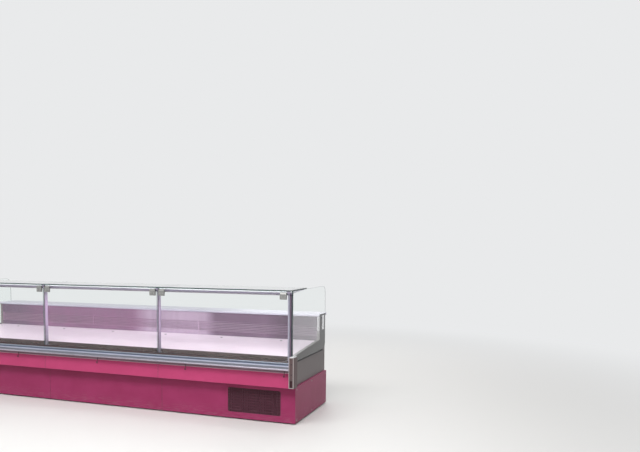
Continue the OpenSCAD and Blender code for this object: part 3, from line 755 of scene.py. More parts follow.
class Palette:
    """All finishes of the counter, each built once."""

    FINISHES: dict = {
        # Polyamide, injection moulded: dull black with a fine grain
        "foot_plastic": Finish("moulded_polyamide", "#232324", "#2B2B2D", 0.6, grain=(2, 2, 2)),
        # Steel, hot-dip galvanised and pressed: grey with large soft zinc flowers
        "galvanised_steel": Finish("galvanised_steel", "#9DA0A2", "#83878B", 0.42, 0.85, (30, 30, 30),
                                   (12, 12, 12)),
        # Steel sheet with a satin crimson powder coat: soft gloss over orange peel, chalky at rubbed edges
        "crimson_paint": PowderCoat("crimson_powder_coat", "#9E3664", "#942F5A", 0.42, wave_height=0.25,
                                    mirror=0.25, worn="#B8607F"),
        # Steel plate, punched with slots, with a maroon powder coat: matt and dark
        "grille_paint": PowderCoat("maroon_powder_coat", "#56303E", "#502B39", 0.6, mirror=0.25,
                                   worn="#70505B"),
        # Steel sheet with a satin fuchsia powder coat: soft gloss over slight waves, pale at rubbed edges
        "fuchsia_paint": PowderCoat("fuchsia_powder_coat", "#C04575", "#B8416F", 0.4, wave_height=0.2,
                                    mirror=0.25, worn="#D98CA6"),
        # Aluminium, extruded and anodised: fine lines along the counter in the gloss, and a darker bluish
        # grey on the upper rib
        "bumper_aluminium": UpperTonedRail("anodised_bumper", "#AEA7B3", "#A09CA8", 0.3, 0.6, (700, 60, 60),
                                       (90, 2, 2), 0.02, worn="#CFCDD4", edge=1.0),
        # PVC, extruded: bluish grey and satin
        "nosing_plastic": Finish("extruded_vinyl", "#A6AABB", "#9A9EB0", 0.38, 0.0, (500, 60, 60),
                                 (60, 2, 2), 0.02),
        # Steel wire, dip coated: black with a dull shine
        "hook_wire": Finish("dipped_wire", "#262426", "#302E30", 0.5, grain=(2, 2, 2)),
        # Steel sheet, precoated off-white: even, with the slight waves of thin sheet
        "coated_sheet": Finish("precoated_sheet", "#DFDFE1", "#DADADD", 0.45, 0.0, (600, 600, 600),
                               wave_height=0.2, worn="#B9BABD"),
        # The same sheet in warm grey
        "end_panel_sheet": Finish("precoated_grey_sheet", "#6E6566", "#665D5F", 0.45, 0.0, (500, 500, 500),
                                  wave_height=0.2, worn="#8E8788"),
        # Aluminium profile: dark reddish grey, satin and very smooth; the dark is painted shade of the lip,
        # which faces away from the lamps
        "lip_profile": Finish("lip_painted_shade", "#3B2729", "#372526", 0.42, 0.0, (400, 80, 80), (2, 2, 2),
                              0.005, shine_swing=0.02, mirror=0.2, worn="#7D7473"),
        # Stainless steel plates, brushed across the counter: the lamps' pink light painted in, and painted
        # shade that darkens them towards the front
        "deck_steel": BandedSheet(
            "brushed_deck_plate", "#FAE6F5", "#E6CFE0", 0.36, 0.15, (240, 240, 240), (2, 60, 60), 0.02,
            along=Axis.Y, span=(-460.0, 340.0),
            bands=((-440, "#D8C5D3"), (-260, "#E2CFDD"), (-60, "#F1DEED"), (150, "#FAE7F6"),
                   (300, "#FDEBFA"))),
        # Stainless steel lining, satin: the lamps' mauve light painted in, with painted reflections and shade
        # in broad bands along the counter
        "lining_steel": BandedSheet(
            "satin_lining", "#B39CB2", "#775C74", 0.38, 0.4, (120, 3000, 3000), (60, 3, 3), 0.01,
            shine_swing=0.03,
            bands=((-1700, "#6A5068"), (-1250, "#8C5F80"), (-150, "#8C5F80"), (80, "#B9A1B8"),
                   (720, "#B9A1B8"), (860, "#6C5269"), (1420, "#6C5269"), (1580, "#4E3A4C"))),
        # ABS louvres, moulded: grained, with the lamps' mauve light and the same painted reflections and
        # shade
        "grille_plastic": BandedSheet(
            "moulded_louvre", "#BDA1BA", "#9C7F97", 0.5, 0.0, (120, 3000, 3000), (2, 2, 2),
            bands=((-1700, "#A8839E"), (-150, "#B07CA2"), (80, "#BB9CB7"), (720, "#C3A6C0"),
                   (860, "#AC8FA8"), (1420, "#AC8FA8"), (1580, "#8E738B"))),
        # Stainless steel worktop, brushed along the counter: pale with fine lines, bright at rubbed edges
        "worktop_steel": Finish("brushed_worktop", "#CBC7D4", "#BDB9C8", 0.34, 0.55, (500, 90, 90),
                                (70, 2, 2), 0.03, worn="#ECECF0"),
        # Aluminium extrusion, natural anodised: satin, with fine upright lines
        "frame_aluminium": Finish("natural_anodised", "#A69EB1", "#968EA3", 0.34, 0.6, (90, 90, 300),
                                  (2, 2, 60), 0.02, worn="#D5D2DA", edge=1.0),
        # The same on the middle posts, with the lamps' lilac light painted on the middle of their height and
        # painted shade below it
        "post_aluminium": BandedSheet(
            "anodised_painted_lilac_light", "#A69EB1", "#968EA3", 0.34, 0.6, (90, 90, 300), (2, 2, 60), 0.02,
            worn="#D5D2DA", edge=1.0, along=Axis.Z, span=(560.0, 1180.0),
            bands=((600, "#86838F"), (680, "#B3A2BC"), (800, "#CDB1D4"), (980, "#D3B5DA"),
                   (1080, "#BAABC4"), (1150, "#A69EB1"))),
        # Steel sheet, enamelled inside: a pale mauve white
        "lamp_sheet": Finish("lamp_enamel", "#C3B4C0", "#B8A9B6", 0.4),
        # Glass tube, opal: glows evenly
        "lamp_diffuser": LitTube("opal_tube", "#FFF0F7", "#FFE8F2", 0.4),
        # ABS, injection moulded: grained, and pale on the raised rim, its foremost 3 mm
        "bumper_end_plastic": BandedSheet(
            "moulded_bumper_end", "#5C494A", "#513F41", 0.5, grain=(2.5, 2.5, 2.5), grain_height=0.08,
            worn="#7A7274", edge=3.0, along=Axis.Y, span=(-570.0, -480.0),
            bands=((-570, "#ABA3A3"), (-567, "#A59D9D"), (-566.2, "#5C494A"))),
        # Stainless steel, polished: bright and smooth
        "bright_trim": Finish("polished_trim", "#F2F2F4", "#E6E6EA", 0.24, 0.6, (60, 60, 60), (9, 9, 9),
                              0.001, shine_swing=0.03),
        # Zinc alloy, die cast and satin chromed: grey, brighter at its edges
        "clamp_alloy": Finish("satin_chromed_zinc", "#979795", "#8B8B89", 0.32, 0.6, (30, 30, 30), (6, 6, 6),
                              0.002, worn="#B4B3B4", edge=1.0),
        # Float glass, toughened: clear, with a faint green cast
        "clear_glass": FloatGlass("clear_float_glass", "#FAFDFC"),
    }
    EXTRAS: dict = {
        # The same glass seen through its polished edge, where the path is long and the iron shows green
        "glass_edge": Finish("polished_glass_edge", "#1D3636", "#264342", 0.2, grain=(6, 6, 6), mirror=0.2),
        # The edges of the front panes, which are thinner and so paler
        "pane_edge": Finish("polished_pane_edge", "#6B8582", "#5E7875", 0.2, grain=(6, 6, 6), mirror=0.2),
        # Galvanised sheet behind the louvres, punched, with the mauve light of its surroundings painted on it
        "punched_sheet": PunchedSheet("punched_distributor", "#C9AAC7", "#BB9CB9", 0.45, 0.2),
        # EPDM: black rubber, dull
        "rubber": Finish("moulded_rubber", "#2A2A2B", "#333234", 0.7),
        # Silicone rubber: white and matt, a little dusty; its white is a painted highlight of the rail's lit
        # edge
        "white_seal": Finish("white_strip_painted_highlight", "#DFE1E5", "#D4D6DB", 0.6, patch=(120, 20, 20)),
        # PVC seals of the panes and the end posts, extruded: dark grey, satin
        "seal_vinyl": Finish("seal_vinyl", "#615061", "#594859", 0.5, patch=(20, 20, 200), grain=(2, 2, 40),
                             mirror=0.3),
        # Soft insert in the finger recess of the bumper's ends: dark reddish grey, matt, a painted shade of
        # the recess
        "recess_insert": Finish("insert_painted_recess_shade", "#40282C", "#382327", 0.6, grain=(2, 2, 2), mirror=0.3),
        # PVC strip on the sill: dark reddish grey, satin
        "sill_vinyl": Finish("sill_vinyl", "#382426", "#342224", 0.45, 0.0, (400, 60, 60), (2, 2, 2), 0.005,
                             shine_swing=0.02, mirror=0.2),
        # PVC strips in the bumper's grooves: blue-grey, dusty, and darker than the ribs as painted shade of
        # the grooves, the upper one darker still
        "groove_vinyl_painted_shade": UpperTonedRail("groove_vinyl_painted_shade", "#8A8E9A", "#80848F", 0.55, 0.0, (300, 20, 20),
                                   (40, 2, 2), 0.02, upper_tone="#626C82"),
        # PVC strip under the bumper: dark mauve-grey, matt
        "cover_vinyl": Finish("cover_vinyl", "#8C707E", "#7E6471", 0.6, 0.0, (300, 20, 20), (40, 2, 2), 0.02),
        # Polyester filter mat: maroon-grey with dust
        "filter_mat": Finish("filter_mat", "#613845", "#6E434F", 0.9, grain_height=0.5),
        # Steel fasteners, zinc plated: grey, dulled
        "zinc_plate": Finish("zinc_plated_steel", "#A9AAA8", "#959796", 0.36, 0.8, (8, 8, 8), (2, 2, 2),
                             0.01),
        # Steel fasteners, blackened: dark with a soft shine
        "black_steel": Finish("blackened_steel", "#353437", "#2C2B2E", 0.4, 0.6, (8, 8, 8), (2, 2, 2),
                              0.01),
        # Aluminium bead, anodised: dusty mauve, a painted reflection of what it mirrors
        "bead": Finish("anodised_bead", "#C4A6B2", "#B698A5", 0.35, 0.4, (400, 40, 40), (60, 2, 2), 0.02),
    }
    # Solids that wear another finish than the rest of their material slot
    SPECIAL: dict = {"middle_posts": "post_aluminium"}
    # Material slot that an extra finish stands in for; fasteners and the rail's white strip of painted
    # highlight have none
    SLOTS: dict = {
        "glass_edge": "clear_glass", "pane_edge": "clear_glass", "punched_sheet": "grille_plastic",
        "rubber": "hook_wire", "seal_vinyl": "hook_wire", "recess_insert": "bumper_end_plastic",
        "sill_vinyl": "lip_profile", "groove_vinyl_painted_shade": "nosing_plastic", "cover_vinyl": "lip_profile",
        "filter_mat": "grille_paint", "bead": "bumper_aluminium",
    }

    def __init__(self) -> None:
        """Builds every material."""
        self._made = {key: look.material() for key, look in {**self.FINISHES, **self.EXTRAS}.items()}

    def __getitem__(self, key: str) -> bpy.types.Material:
        """The material of a finish."""
        return self._made[key]

    def slot(self, key: str) -> Optional[str]:
        """The material slot of a finish, where it has one."""
        return key if key in self.FINISHES else self.SLOTS.get(key)

    def dress(self, frame: dict) -> None:
        """Gives every solid the finish of its material slot.
        """
        for part in frame["record"]["subparts"]:
            solid = frame["nodes"][part["node"]]
            key = self.SPECIAL.get(part["node"], part["material_slot"])
            while len(solid.material_slots) < 1:
                solid.data.materials.append(None)
            for holder in solid.material_slots:
                holder.link = "OBJECT"
                holder.material = self[key]
            LOG.info("%s wears %s", part["node"], key)


@dataclass
class Assembly:
    """A group of pieces, with the finishes and the middles of the four posts along the counter.

    Fields that name a screw hold the radius and the height of its head.
    """

    palette: Palette
    posts: Array

    def add(self, name: str, shapes: Sequence[Shape], finish: str, body: str = CABINET) -> None:
        """Makes one piece of several shapes, in a finish of the palette."""
        piece(name, joined(list(shapes)), self.palette[finish], body, self.palette.slot(finish))

    @property
    def joints(self) -> Array:
        """Where two bays meet."""
        return self.posts[1:-1]


@dataclass
class Plinth(Assembly):
    """Feet, pedestals and the painted panels of the base."""

    pad_radius: float = 25.0
    nut_flat: float = 12.0
    nut_height: float = 8.0
    nut_chamfer: float = 1.0
    stem_radius: float = 8.0
    thread_start: float = 9.0
    thread_depth: float = 0.9
    thread_pitch: float = 2.4
    thread_turns: int = 5
    filter_gap: float = 0.5
    filter_depth: float = 16.0
    filter_pitch: float = 22.0
    filter_wall: float = 1.0
    filter_margin: float = 2.0
    filter_rim: float = 12.0
    filter_corners: Pair = (10.0, 6.0)
    cover_screw: Pair = (6.0, 2.6)
    cover_screw_margins: Pair = (40.0, 24.0)
    seal_half: float = 1.4
    seal_depths: Pair = (0.8, 5.0)
    seal_corner: float = 0.6
    seal_end: float = 1.0

    def build(self) -> None:
        """Builds the pieces of the base."""
        self.feet()
        self.filter()
        self.cover_screws()
        self.seals()

    def feet(self) -> None:
        """A lock nut under each pedestal and the thread below it."""
        low, high = place_of("feet")
        xs = (low[0] + self.pad_radius, *self.joints, high[0] - self.pad_radius)
        places = [(x, y) for x in xs for y in (low[1] + self.pad_radius, high[1] - self.pad_radius)]
        top, bottom, slope = high[2] - SINK, high[2] - self.nut_height, self.nut_chamfer
        rows = [(slope - self.nut_flat, bottom), (-self.nut_flat, bottom + slope),
                (-self.nut_flat, top - slope), (slope - self.nut_flat, top)]
        nuts = [turned(rows, (x, y, 0), Axis.Z, steps=18, sides=6) for x, y in places]
        self.add("foot_lock_nuts", nuts, "zinc_plate")
        thread = (self.stem_radius, self.thread_depth, self.thread_pitch, self.thread_turns)
        threads = [wound((x, y, self.thread_start), *thread) for x, y in places]
        self.add("foot_threads", threads, "zinc_plate")

    def filter(self) -> None:
        """The pleated filter mat behind the intake grille, in its shallow frame."""
        low, high = place_of("intake_grille")
        front, wall = high[1] + self.filter_gap, self.filter_wall
        margin, edge = self.filter_margin, self.filter_margin + self.filter_rim
        mat = pleated((low[0] + edge, high[0] - edge), (low[2] + edge, high[2] - edge),
                      front + wall + self.filter_depth / 2, self.filter_depth, self.filter_pitch, wall)
        self.add("intake_filter", [mat], "filter_mat")
        outer, inner = [box_outline((low[2] + k, low[0] + k), (high[2] - k, high[0] - k), radius)
                        for k, radius in zip((margin, edge), self.filter_corners)]
        holder = ring(outer, inner, front, front + self.filter_depth + 2 * wall, Axis.Y)
        self.add("intake_filter_frame", [holder], "galvanised_steel")

    def cover_screws(self) -> None:
        """Screws that hold the painted covers at both ends."""
        low, high = place_of("side_cover_right")
        dy, dz = self.cover_screw_margins
        ys = (low[1] + dy, (low[1] + high[1]) / 2, high[1] - dy)
        heads = [screw((high[0], y, z), Axis.X, 1, *self.cover_screw)
                 for y in ys for z in (low[2] + dz, high[2] - dz)]
        self.add("cover_screws", [at_both_ends(heads)], "zinc_plate")

    def seals(self) -> None:
        """Rubber seals in the upright joints of the lower panels and of the rear panels."""
        shapes = []
        for node, face, side in (("lower_panel_middle", 0, 1), ("rear_panels", 1, -1)):
            low, high = place_of(node)
            y0, y1 = sorted((low, high)[face][1] + side * depth for depth in self.seal_depths)
            z0, z1 = low[2] + self.seal_end, high[2] - self.seal_end
            shapes += [block((x - self.seal_half, y0, z0), (x + self.seal_half, y1, z1), Axis.Z,
                             self.seal_corner) for x in self.joints]
        self.add("panel_seals", shapes, "rubber")


@dataclass
class Bumper(Assembly):
    """The ribbed bumper with its moulded ends, the sill above it and the top of the skirt below it."""

    rib_radius: float = 9.0
    rib_pitch: float = 29.5
    ribs: int = 3
    groove_gap: float = 0.3
    groove_corner: float = 1.0
    insert_proud: float = 1.2
    skirt_top_y: float = -510.0
    skirt_end: float = 1.0
    bead_radius: float = 3.0
    bead_z: float = 472.0
    bead_lap: float = 0.5
    cover_thickness: float = 1.2
    cover_gap: float = 0.3
    seal_half: float = 1.4
    seal_depths: Pair = (0.8, 5.0)
    seal_end: float = 0.5
    sill_lift: float = 1.2
    sill_fold: Pair = (90.0, 150.0)
    sill_back: float = -461.5
    post_front: float = -497.0
    foot_half: float = 23.0
    foot_brim: float = 1.8
    foot_corners: Pair = (5.0, 4.0)
    foot_plate: float = 3.0
    foot_screw: Pair = (3.6, 1.8)
    foot_screw_margin: float = 5.2
    end_plate: float = 3.5
    end_plate_low: Pair = (0.6, -2.0)
    end_plate_high: Pair = (-0.5, -1.0)
    end_plate_corner: float = 5.0
    end_screw: Pair = (5.0, 2.4)
    end_screw_zs: Pair = (560.0, 470.0)
    cap_rim: float = 6.0
    cap_corner: float = 12.0
    cap_sink: float = 4.0
    recess_margin: float = 2.0
    recess_height: float = 60.0
    recess_depth: float = 12.0
    insert_corner: float = 1.0
    insert_wall: float = 1.0
    insert_gap: float = 0.1

    def build(self) -> None:
        """Builds what lies on and round the bumper."""
        self.grooves()
        self.skirt_top()
        self.sill()
        self.post_feet()
        self.ends()
        self.end_inserts()

    def grooves(self) -> None:
        """A vinyl strip in each groove between two ribs, darker than the ribs as painted shade of the
        grooves.
        """
        low, high = place_of("bumper_rail")
        web = low[1] + self.rib_radius
        face, root, corner = web - self.insert_proud, web + ROOT, self.groove_corner
        strips = []
        for k in range(self.ribs - 1):
            bottom = low[2] + 2 * self.rib_radius + k * self.rib_pitch + self.groove_gap
            top = low[2] + (k + 1) * self.rib_pitch - self.groove_gap
            corners = [(face, bottom), (root, bottom), (root, top), (face, top)]
            outline = rounded(corners, [corner, 0, 0, corner], steps=4)
            strips.append(bar(outline, low[0], high[0]))
        self.add("bumper_groove_strips", strips, "groove_vinyl_painted_shade")

    def skirt_face(self, z: float) -> float:
        """Where the leaning face of the skirt is at a height, on the line between its foot and its top."""
        low, high = place_of("skirt_panels")
        return low[1] + (self.skirt_top_y - low[1]) * (z - low[2]) / (high[2] - low[2])

    def skirt_band(self, depths: Pair, heights: Pair) -> Array:
        """The section of a band that follows the leaning face of the skirt.

        Args:
            depths: its two sides behind the face; a negative depth is in front of it.
            heights: its lower and upper edge.

        Returns:
            Its four corners on Y and Z, the lower two first.
        """
        (d0, d1), (z0, z1) = depths, heights
        y0, y1 = self.skirt_face(z0), self.skirt_face(z1)
        return np.array([(y0 + d0, z0), (y0 + d1, z0), (y1 + d1, z1), (y1 + d0, z1)])

    def skirt_top(self) -> None:
        """A dark cover strip under the bumper with a half-round bead along its foot, and the seals."""
        low, high = place_of("skirt_panels")
        start, end = low[0] + self.skirt_end, high[0] - self.skirt_end
        t = np.linspace(np.pi / 2, 3 * np.pi / 2, 9)
        arc = np.stack([np.cos(t), np.sin(t)], axis=1) * self.bead_radius
        bead = arc + [self.skirt_face(self.bead_z), self.bead_z]
        self.add("skirt_bead", [bar(bead, start, end)], "bead")
        foot = self.bead_z + self.bead_radius - self.bead_lap
        cover = self.skirt_band((-self.cover_thickness, SINK), (foot, high[2] - self.cover_gap))
        self.add("skirt_cover_strip", [bar(cover, start, end)], "cover_vinyl")
        seal = self.skirt_band(self.seal_depths, (low[2], self.bead_z))
        seal[:2, 1] += self.seal_end
        seals = [bar(seal, x - self.seal_half, x + self.seal_half) for x in self.joints]
        self.add("skirt_seals", seals, "rubber")

    def sill(self) -> None:
        """The dark strip under the panes, folded over the upper rib in front.

        The fold's outer and inner lines are arcs round the rib's centre, between the two angles of the
        fold. Behind the posts' front the strip is cut out round their feet.
        """
        low, high = place_of("bumper_rail")
        under, top = high[2] - SINK, high[2] + self.sill_lift
        t = np.radians(np.linspace(*self.sill_fold, 8))
        arc = np.stack([np.cos(t), np.sin(t)], axis=1)
        centre = np.array([low[1], high[2] - self.rib_radius]) + [self.rib_radius, 0]
        outer = arc * (self.rib_radius + self.sill_lift) + centre
        inner = arc[::-1] * (self.rib_radius - SINK) + centre
        front = np.concatenate([outer, inner, [(self.post_front, under), (self.post_front, top)]])
        runs = [bar(front, low[0], high[0])]
        for a, b in zip(self.posts, self.posts[1:]):
            start, end = a + self.foot_half, b - self.foot_half
            runs.append(block((start, self.post_front, under), (end, self.sill_back, top)))
        self.add("sill_strip", runs, "sill_vinyl")

    def post_feet(self) -> None:
        """An aluminium plate round the foot of each post, with a screw on either side."""
        low, high = place_of("middle_posts")
        half, wide, brim = high[0] - self.posts[2], self.foot_half, self.foot_brim
        outer_corner, inner_corner = self.foot_corners
        outer = box_outline((-wide, low[1] - brim), (wide, high[1] + brim), outer_corner, steps=6)
        inner = box_outline((-half, low[1]), (half, high[1]), inner_corner, steps=6)
        top = low[2] + self.foot_plate
        plates = [ring(outer + [x, 0], inner + [x, 0], low[2], top, Axis.Z) for x in self.posts]
        self.add("post_foot_plates", plates, "frame_aluminium")
        y, away = (low[1] + high[1]) / 2, wide - self.foot_screw_margin
        heads = [screw((x + side * away, y, top), Axis.Z, 1, *self.foot_screw)
                 for x in self.posts for side in BOTH]
        self.add("post_foot_screws", heads, "zinc_plate")

    def ends(self) -> None:
        """At each end of the bumper: an aluminium plate over the ends of the ribs, and two screws."""
        low, high = place_of("bumper_end_right")
        foot = place_of("bumper_rail")[0][2]
        (y0, z0), (y1, z1) = self.end_plate_low, self.end_plate_high
        plate = block((low[0] - self.end_plate, low[1] + y0, foot + z0),
                      (low[0], high[1] + y1, high[2] + z1), radius=self.end_plate_corner, steps=6)
        self.add("bumper_end_plates", [at_both_ends([plate])], "frame_aluminium")
        x, y = (low[0] + self.cap_rim + high[0] - self.cap_corner) / 2, low[1] + self.cap_sink
        heads = [screw((x, y, z), Axis.Y, -1, *self.end_screw) for z in self.end_screw_zs]
        self.add("bumper_end_screws", [at_both_ends(heads)], "black_steel")

    def end_inserts(self) -> None:
        """A dark insert that lines the finger recess in each end, as painted shade of the recess."""
        low, high = place_of("bumper_end_right")
        edge, gap, wall = self.cap_rim + self.recess_margin, self.insert_gap, self.insert_wall
        z0, x0, x1 = low[2] + edge, low[0] + edge, high[0] - self.cap_corner - self.recess_margin
        z1 = z0 + self.recess_height
        outer, inner = [box_outline((z0 + k, x0 + k), (z1 - k, x1 - k), self.insert_corner)
                        for k in (gap, gap + wall)]
        front, back = low[1] + self.cap_sink + gap, low[1] + self.recess_depth - gap
        walls, floor = ring(outer, inner, front, back, Axis.Y), bar(outer, back - wall, back, Axis.Y)
        self.add("bumper_end_inserts", [at_both_ends([walls, floor])], "recess_insert")


@dataclass
class Well(Assembly):
    """The display deck and its lining; the grommet's rows are radius and height above the deck."""

    plate_joint: float = 2.0
    seat: float = 29.0
    sheet: float = 2.0
    grommet_y: float = 215.0
    grommet: tuple = ((12.0, -0.3), (12.0, 0.5), (10.8, 1.3), (9.0, 1.2), (7.8, 0.4), (7.6, 0.15))
    distributor_gap: float = 0.2
    distributor_sheet: float = 1.0
    distributor_margin: float = 1.0
    lining_y: float = 325.0
    lining_screws: int = 13
    lining_screw: Pair = (4.5, 1.8)
    lining_screw_margins: Pair = (60.0, 14.0)
    strip_half: float = 9.0
    strip_proud: float = 1.0
    strip_corner: float = 0.4
    strip_spans: tuple = ((803.0, 891.0), (658.0, 699.0))

    def build(self) -> None:
        """Builds the deck's grommets, the sheet behind the louvres, and the lining's screws and strips."""
        self.grommets()
        self.distributor()
        self.lining()

    def grommets(self) -> None:
        """A rubber finger grommet in each deck plate, by which it lifts out; its dark closed floor stands in
        for the shade of an open finger hole.

        Each leans with the deck: its points rise by the deck's slope times their distance behind its middle.
        """
        shapes = []
        for side in PANES:
            low, high = place_of(f"deck_{side}")
            y0, y1 = low[1] + self.seat, high[1] - self.seat
            slope = (high[2] - low[2] - self.sheet) / (y1 - y0)
            z = low[2] + self.sheet + slope * (self.grommet_y - y0)
            half = (high[0] - low[0] - self.plate_joint) / 2
            for x in (low[0] + half / 2, high[0] - half / 2):
                shape = turned(self.grommet, (x, self.grommet_y, z), Axis.Z)
                shape.points[:, 2] += slope * (shape.points[:, 1] - self.grommet_y)
                shapes.append(shape)
        self.add("deck_grommets", shapes, "rubber")

    def distributor(self) -> None:
        """The punched sheet just behind the louvres, which spreads the cold air."""
        low, high = place_of("air_grille")
        front, margin = high[1] + self.distributor_gap, self.distributor_margin
        sheet = block((low[0] + margin, front, low[2] + margin),
                      (high[0] - margin, front + self.distributor_sheet, high[2] - margin))
        self.add("air_distributor", [sheet], "punched_sheet")

    def lining(self) -> None:
        """The screws along the lining's top, and cover strips on its joints above and below the louvres."""
        low, high = place_of("rear_lining")
        side, drop = self.lining_screw_margins
        xs = np.linspace(low[0] + side, high[0] - side, self.lining_screws).tolist()
        heads = [screw((x, self.lining_y, high[2] - drop), Axis.Y, -1, *self.lining_screw) for x in xs]
        self.add("lining_screws", heads, "zinc_plate")
        half, face, root = self.strip_half, self.lining_y - self.strip_proud, self.lining_y + ROOT
        strips = [block((x - half, face, z0), (x + half, root, z1), Axis.Z, self.strip_corner)
                  for x in self.joints for z0, z1 in self.strip_spans]
        self.add("lining_cover_strips", strips, "lining_steel")


@dataclass
class Glazing(Assembly):
    """Rail, glass and the hinges of the lifting panes; the buffer's rows are radius and height."""

    pane_glass: float = 6.0
    pane_corner: float = 2.0
    shelf_glass: float = 10.0
    shelf_corner: float = 3.0
    shelf_joint: float = 3.0
    end_glass: float = 8.0
    end_corners: Pair = (2.0, 80.0)
    edge_bulge: float = 0.5
    notch: Pair = (-480.0, 622.0)
    bracket_half: float = 12.0
    hinge_gap: float = 6.0
    axis_y: float = -515.0
    axis_z: float = 1173.0
    pin_radius: float = 3.05
    bush_radius: float = 11.5
    bush_gap: float = 0.3
    bush_chamfer: float = 0.6
    clamp_half: float = 30.0
    clamp_screw: Pair = (5.0, 2.4)
    clamp_screw_away: float = 15.0
    clamp_screw_rise: float = 22.0
    pad_half: float = 29.0
    pad_heights: Pair = (-1.2, 1.0)
    pad_depths: Pair = (4.7, 12.1)
    pad_thickness: float = 1.2
    pad_corner: float = 0.5
    rail_bead: float = 13.0
    rail_strip_proud: float = 0.5
    rail_strip_gaps: Pair = (0.3, 0.2)
    rail_strip_corner: float = 0.3
    buffer: tuple = ((6.0, -2.0), (6.0, -1.0), (5.0, -0.3), (1.0, -0.1))
    buffer_margins: Pair = (60.0, 30.0)
    channel_low: Pair = (-0.5, -4.0)
    channel_high: Pair = (1.6, 9.0)
    channel_corner: float = 1.5
    seal_margin: float = 3.0
    seal_width: float = 9.0
    seal_thickness: float = 0.9
    seal_corner: float = 0.4
    seal_ends: Pair = (2.0, 8.0)
    gasket_depth: float = 20.0
    gasket_lip: float = 7.0
    gasket_proud: float = 0.4
    gasket_chamfer: float = 1.0
    gasket_notch: float = 4.0
    gasket_ends: Pair = (3.3, 1.0)

    def build(self) -> None:
        """Builds the glass edges, the hinge bushes, the clamps' pads and screws, and the seals."""
        self.pane_edges()
        self.shelf_edges()
        self.end_edges()
        self.bushes()
        self.clamp_details()
        self.seals()
        self.pane_seals()
        self.gaskets()

    def pane_edges(self) -> None:
        """The polished edges of the three front panes."""
        for side in PANES:
            low, high = place_of(f"front_glass_{side}")
            path = box_outline((low[2], low[0]), (high[2], high[0]), self.pane_corner)
            edge = rim(path, Axis.Y, (low[1] + high[1]) / 2, self.pane_glass, self.edge_bulge)
            self.add(f"pane_edge_{side}", [edge], "pane_edge", f"pane_{side}")

    def shelf_edges(self) -> None:
        """The polished edges of the service shelf's panes, inside the shelf's outline."""
        low, high = place_of("service_shelf")
        half, bulge = self.shelf_joint / 2, self.edge_bulge
        starts, ends = (low[0] + bulge, *(self.joints + half)), (*(self.joints - half), high[0] - bulge)
        shapes = []
        for start, end in zip(starts, ends):
            path = box_outline((start, low[1] + bulge), (end, high[1] - bulge), self.shelf_corner)
            shapes.append(rim(path, Axis.Z, (low[2] + high[2]) / 2, self.shelf_glass, bulge))
        self.add("shelf_edges", shapes, "glass_edge")

    def end_edges(self) -> None:
        """The polished edges of both end panes, round their notch and rear corners."""
        low, high = place_of("end_glass_right")
        (y, z), (small, large) = self.notch, self.end_corners
        corners = [(y, low[2]), (high[1], low[2]), (high[1], high[2]),
                   (low[1], high[2]), (low[1], z), (y, z)]
        path = rounded(corners, [small, large, large, small, small, 0], steps=12)
        edge = rim(path, Axis.X, (low[0] + high[0]) / 2, self.end_glass, self.edge_bulge)
        self.add("end_glass_edges", [at_both_ends([edge])], "glass_edge")

    def bushes(self) -> None:
        """Dark bushes on the hinge pins, between each bracket and its clamps."""
        pin, r, slope = self.pin_radius, self.bush_radius, self.bush_chamfer
        start, end = self.bush_gap, self.hinge_gap - self.bush_gap
        rows = [(pin, start), (r - slope, start), (r, start + slope),
                (r, end - slope), (r - slope, end), (pin, end)]
        starts = [x + self.bracket_half for x in self.posts[:-1]]
        starts += [x - self.bracket_half - self.hinge_gap for x in self.posts[1:]]
        bushes = [turned(rows, (x, self.axis_y, self.axis_z), Axis.X) for x in starts]
        self.add("hinge_bushes", bushes, "rubber")

    def clamp_details(self) -> None:
        """Two cap screws on the face of each clamp, and the soft pads between jaws and glass."""
        reach, (below, above) = self.pad_half, self.pad_heights
        for side in PANES:
            low, high = place_of(f"glass_clamps_{side}")
            centres = (low[0] + self.clamp_half, high[0] - self.clamp_half)
            z = low[2] + self.clamp_screw_rise
            heads = [screw((x + k * self.clamp_screw_away, low[1], z), Axis.Y, -1, *self.clamp_screw)
                     for x in centres for k in BOTH]
            self.add(f"clamp_screws_{side}", heads, "zinc_plate", f"pane_{side}")
            z0, z1 = low[2] + below, low[2] + above
            faces = [(y, y + self.pad_thickness) for y in low[1] + np.array(self.pad_depths)]
            pads = [block((x - reach, y0, z0), (x + reach, y1, z1), Axis.Y, self.pad_corner)
                    for x in centres for y0, y1 in faces]
            self.add(f"clamp_pads_{side}", pads, "rubber", f"pane_{side}")

    def seals(self) -> None:
        """A white strip along the rail's bead as a painted highlight of its lit edge, the shelf's buffers and
        the channels under the end panes.
        """
        low, high = place_of("front_rail")
        below, above = self.rail_strip_gaps
        seal = block((low[0], low[1] - self.rail_strip_proud, high[2] - self.rail_bead + below),
                     (high[0], low[1] + ROOT, high[2] - above), radius=self.rail_strip_corner)
        self.add("rail_highlight_strip", [seal], "white_seal")
        low, high = place_of("shelf_arms")
        front, rear = self.buffer_margins
        buffers = [turned(self.buffer, (x, y, high[2]), Axis.Z, steps=16)
                   for x in self.posts for y in (low[1] + front, high[1] - rear)]
        self.add("shelf_buffers", buffers, "rubber")
        low, high = place_of("end_glass_right")
        (x0, z0), (x1, z1), (small, large) = self.channel_low, self.channel_high, self.end_corners
        channel = block((low[0] + x0, self.notch[0] + small, low[2] + z0),
                        (high[0] + x1, high[1] - large, low[2] + z1), Axis.Y, self.channel_corner)
        self.add("end_glass_channels", [at_both_ends([channel])], "rubber")

    def pane_seals(self) -> None:
        """A flat seal behind the left edge of each pane that closes against another."""
        below, above = self.seal_ends
        for side in PANES[1:]:
            low, high = place_of(f"front_glass_{side}")
            x, y = low[0] + self.seal_margin, high[1]
            seal = block((x, y - SINK, low[2] + below),
                         (x + self.seal_width, y + self.seal_thickness, high[2] - above),
                         Axis.Z, self.seal_corner)
            self.add(f"pane_seal_{side}", [seal], "seal_vinyl", f"pane_{side}")

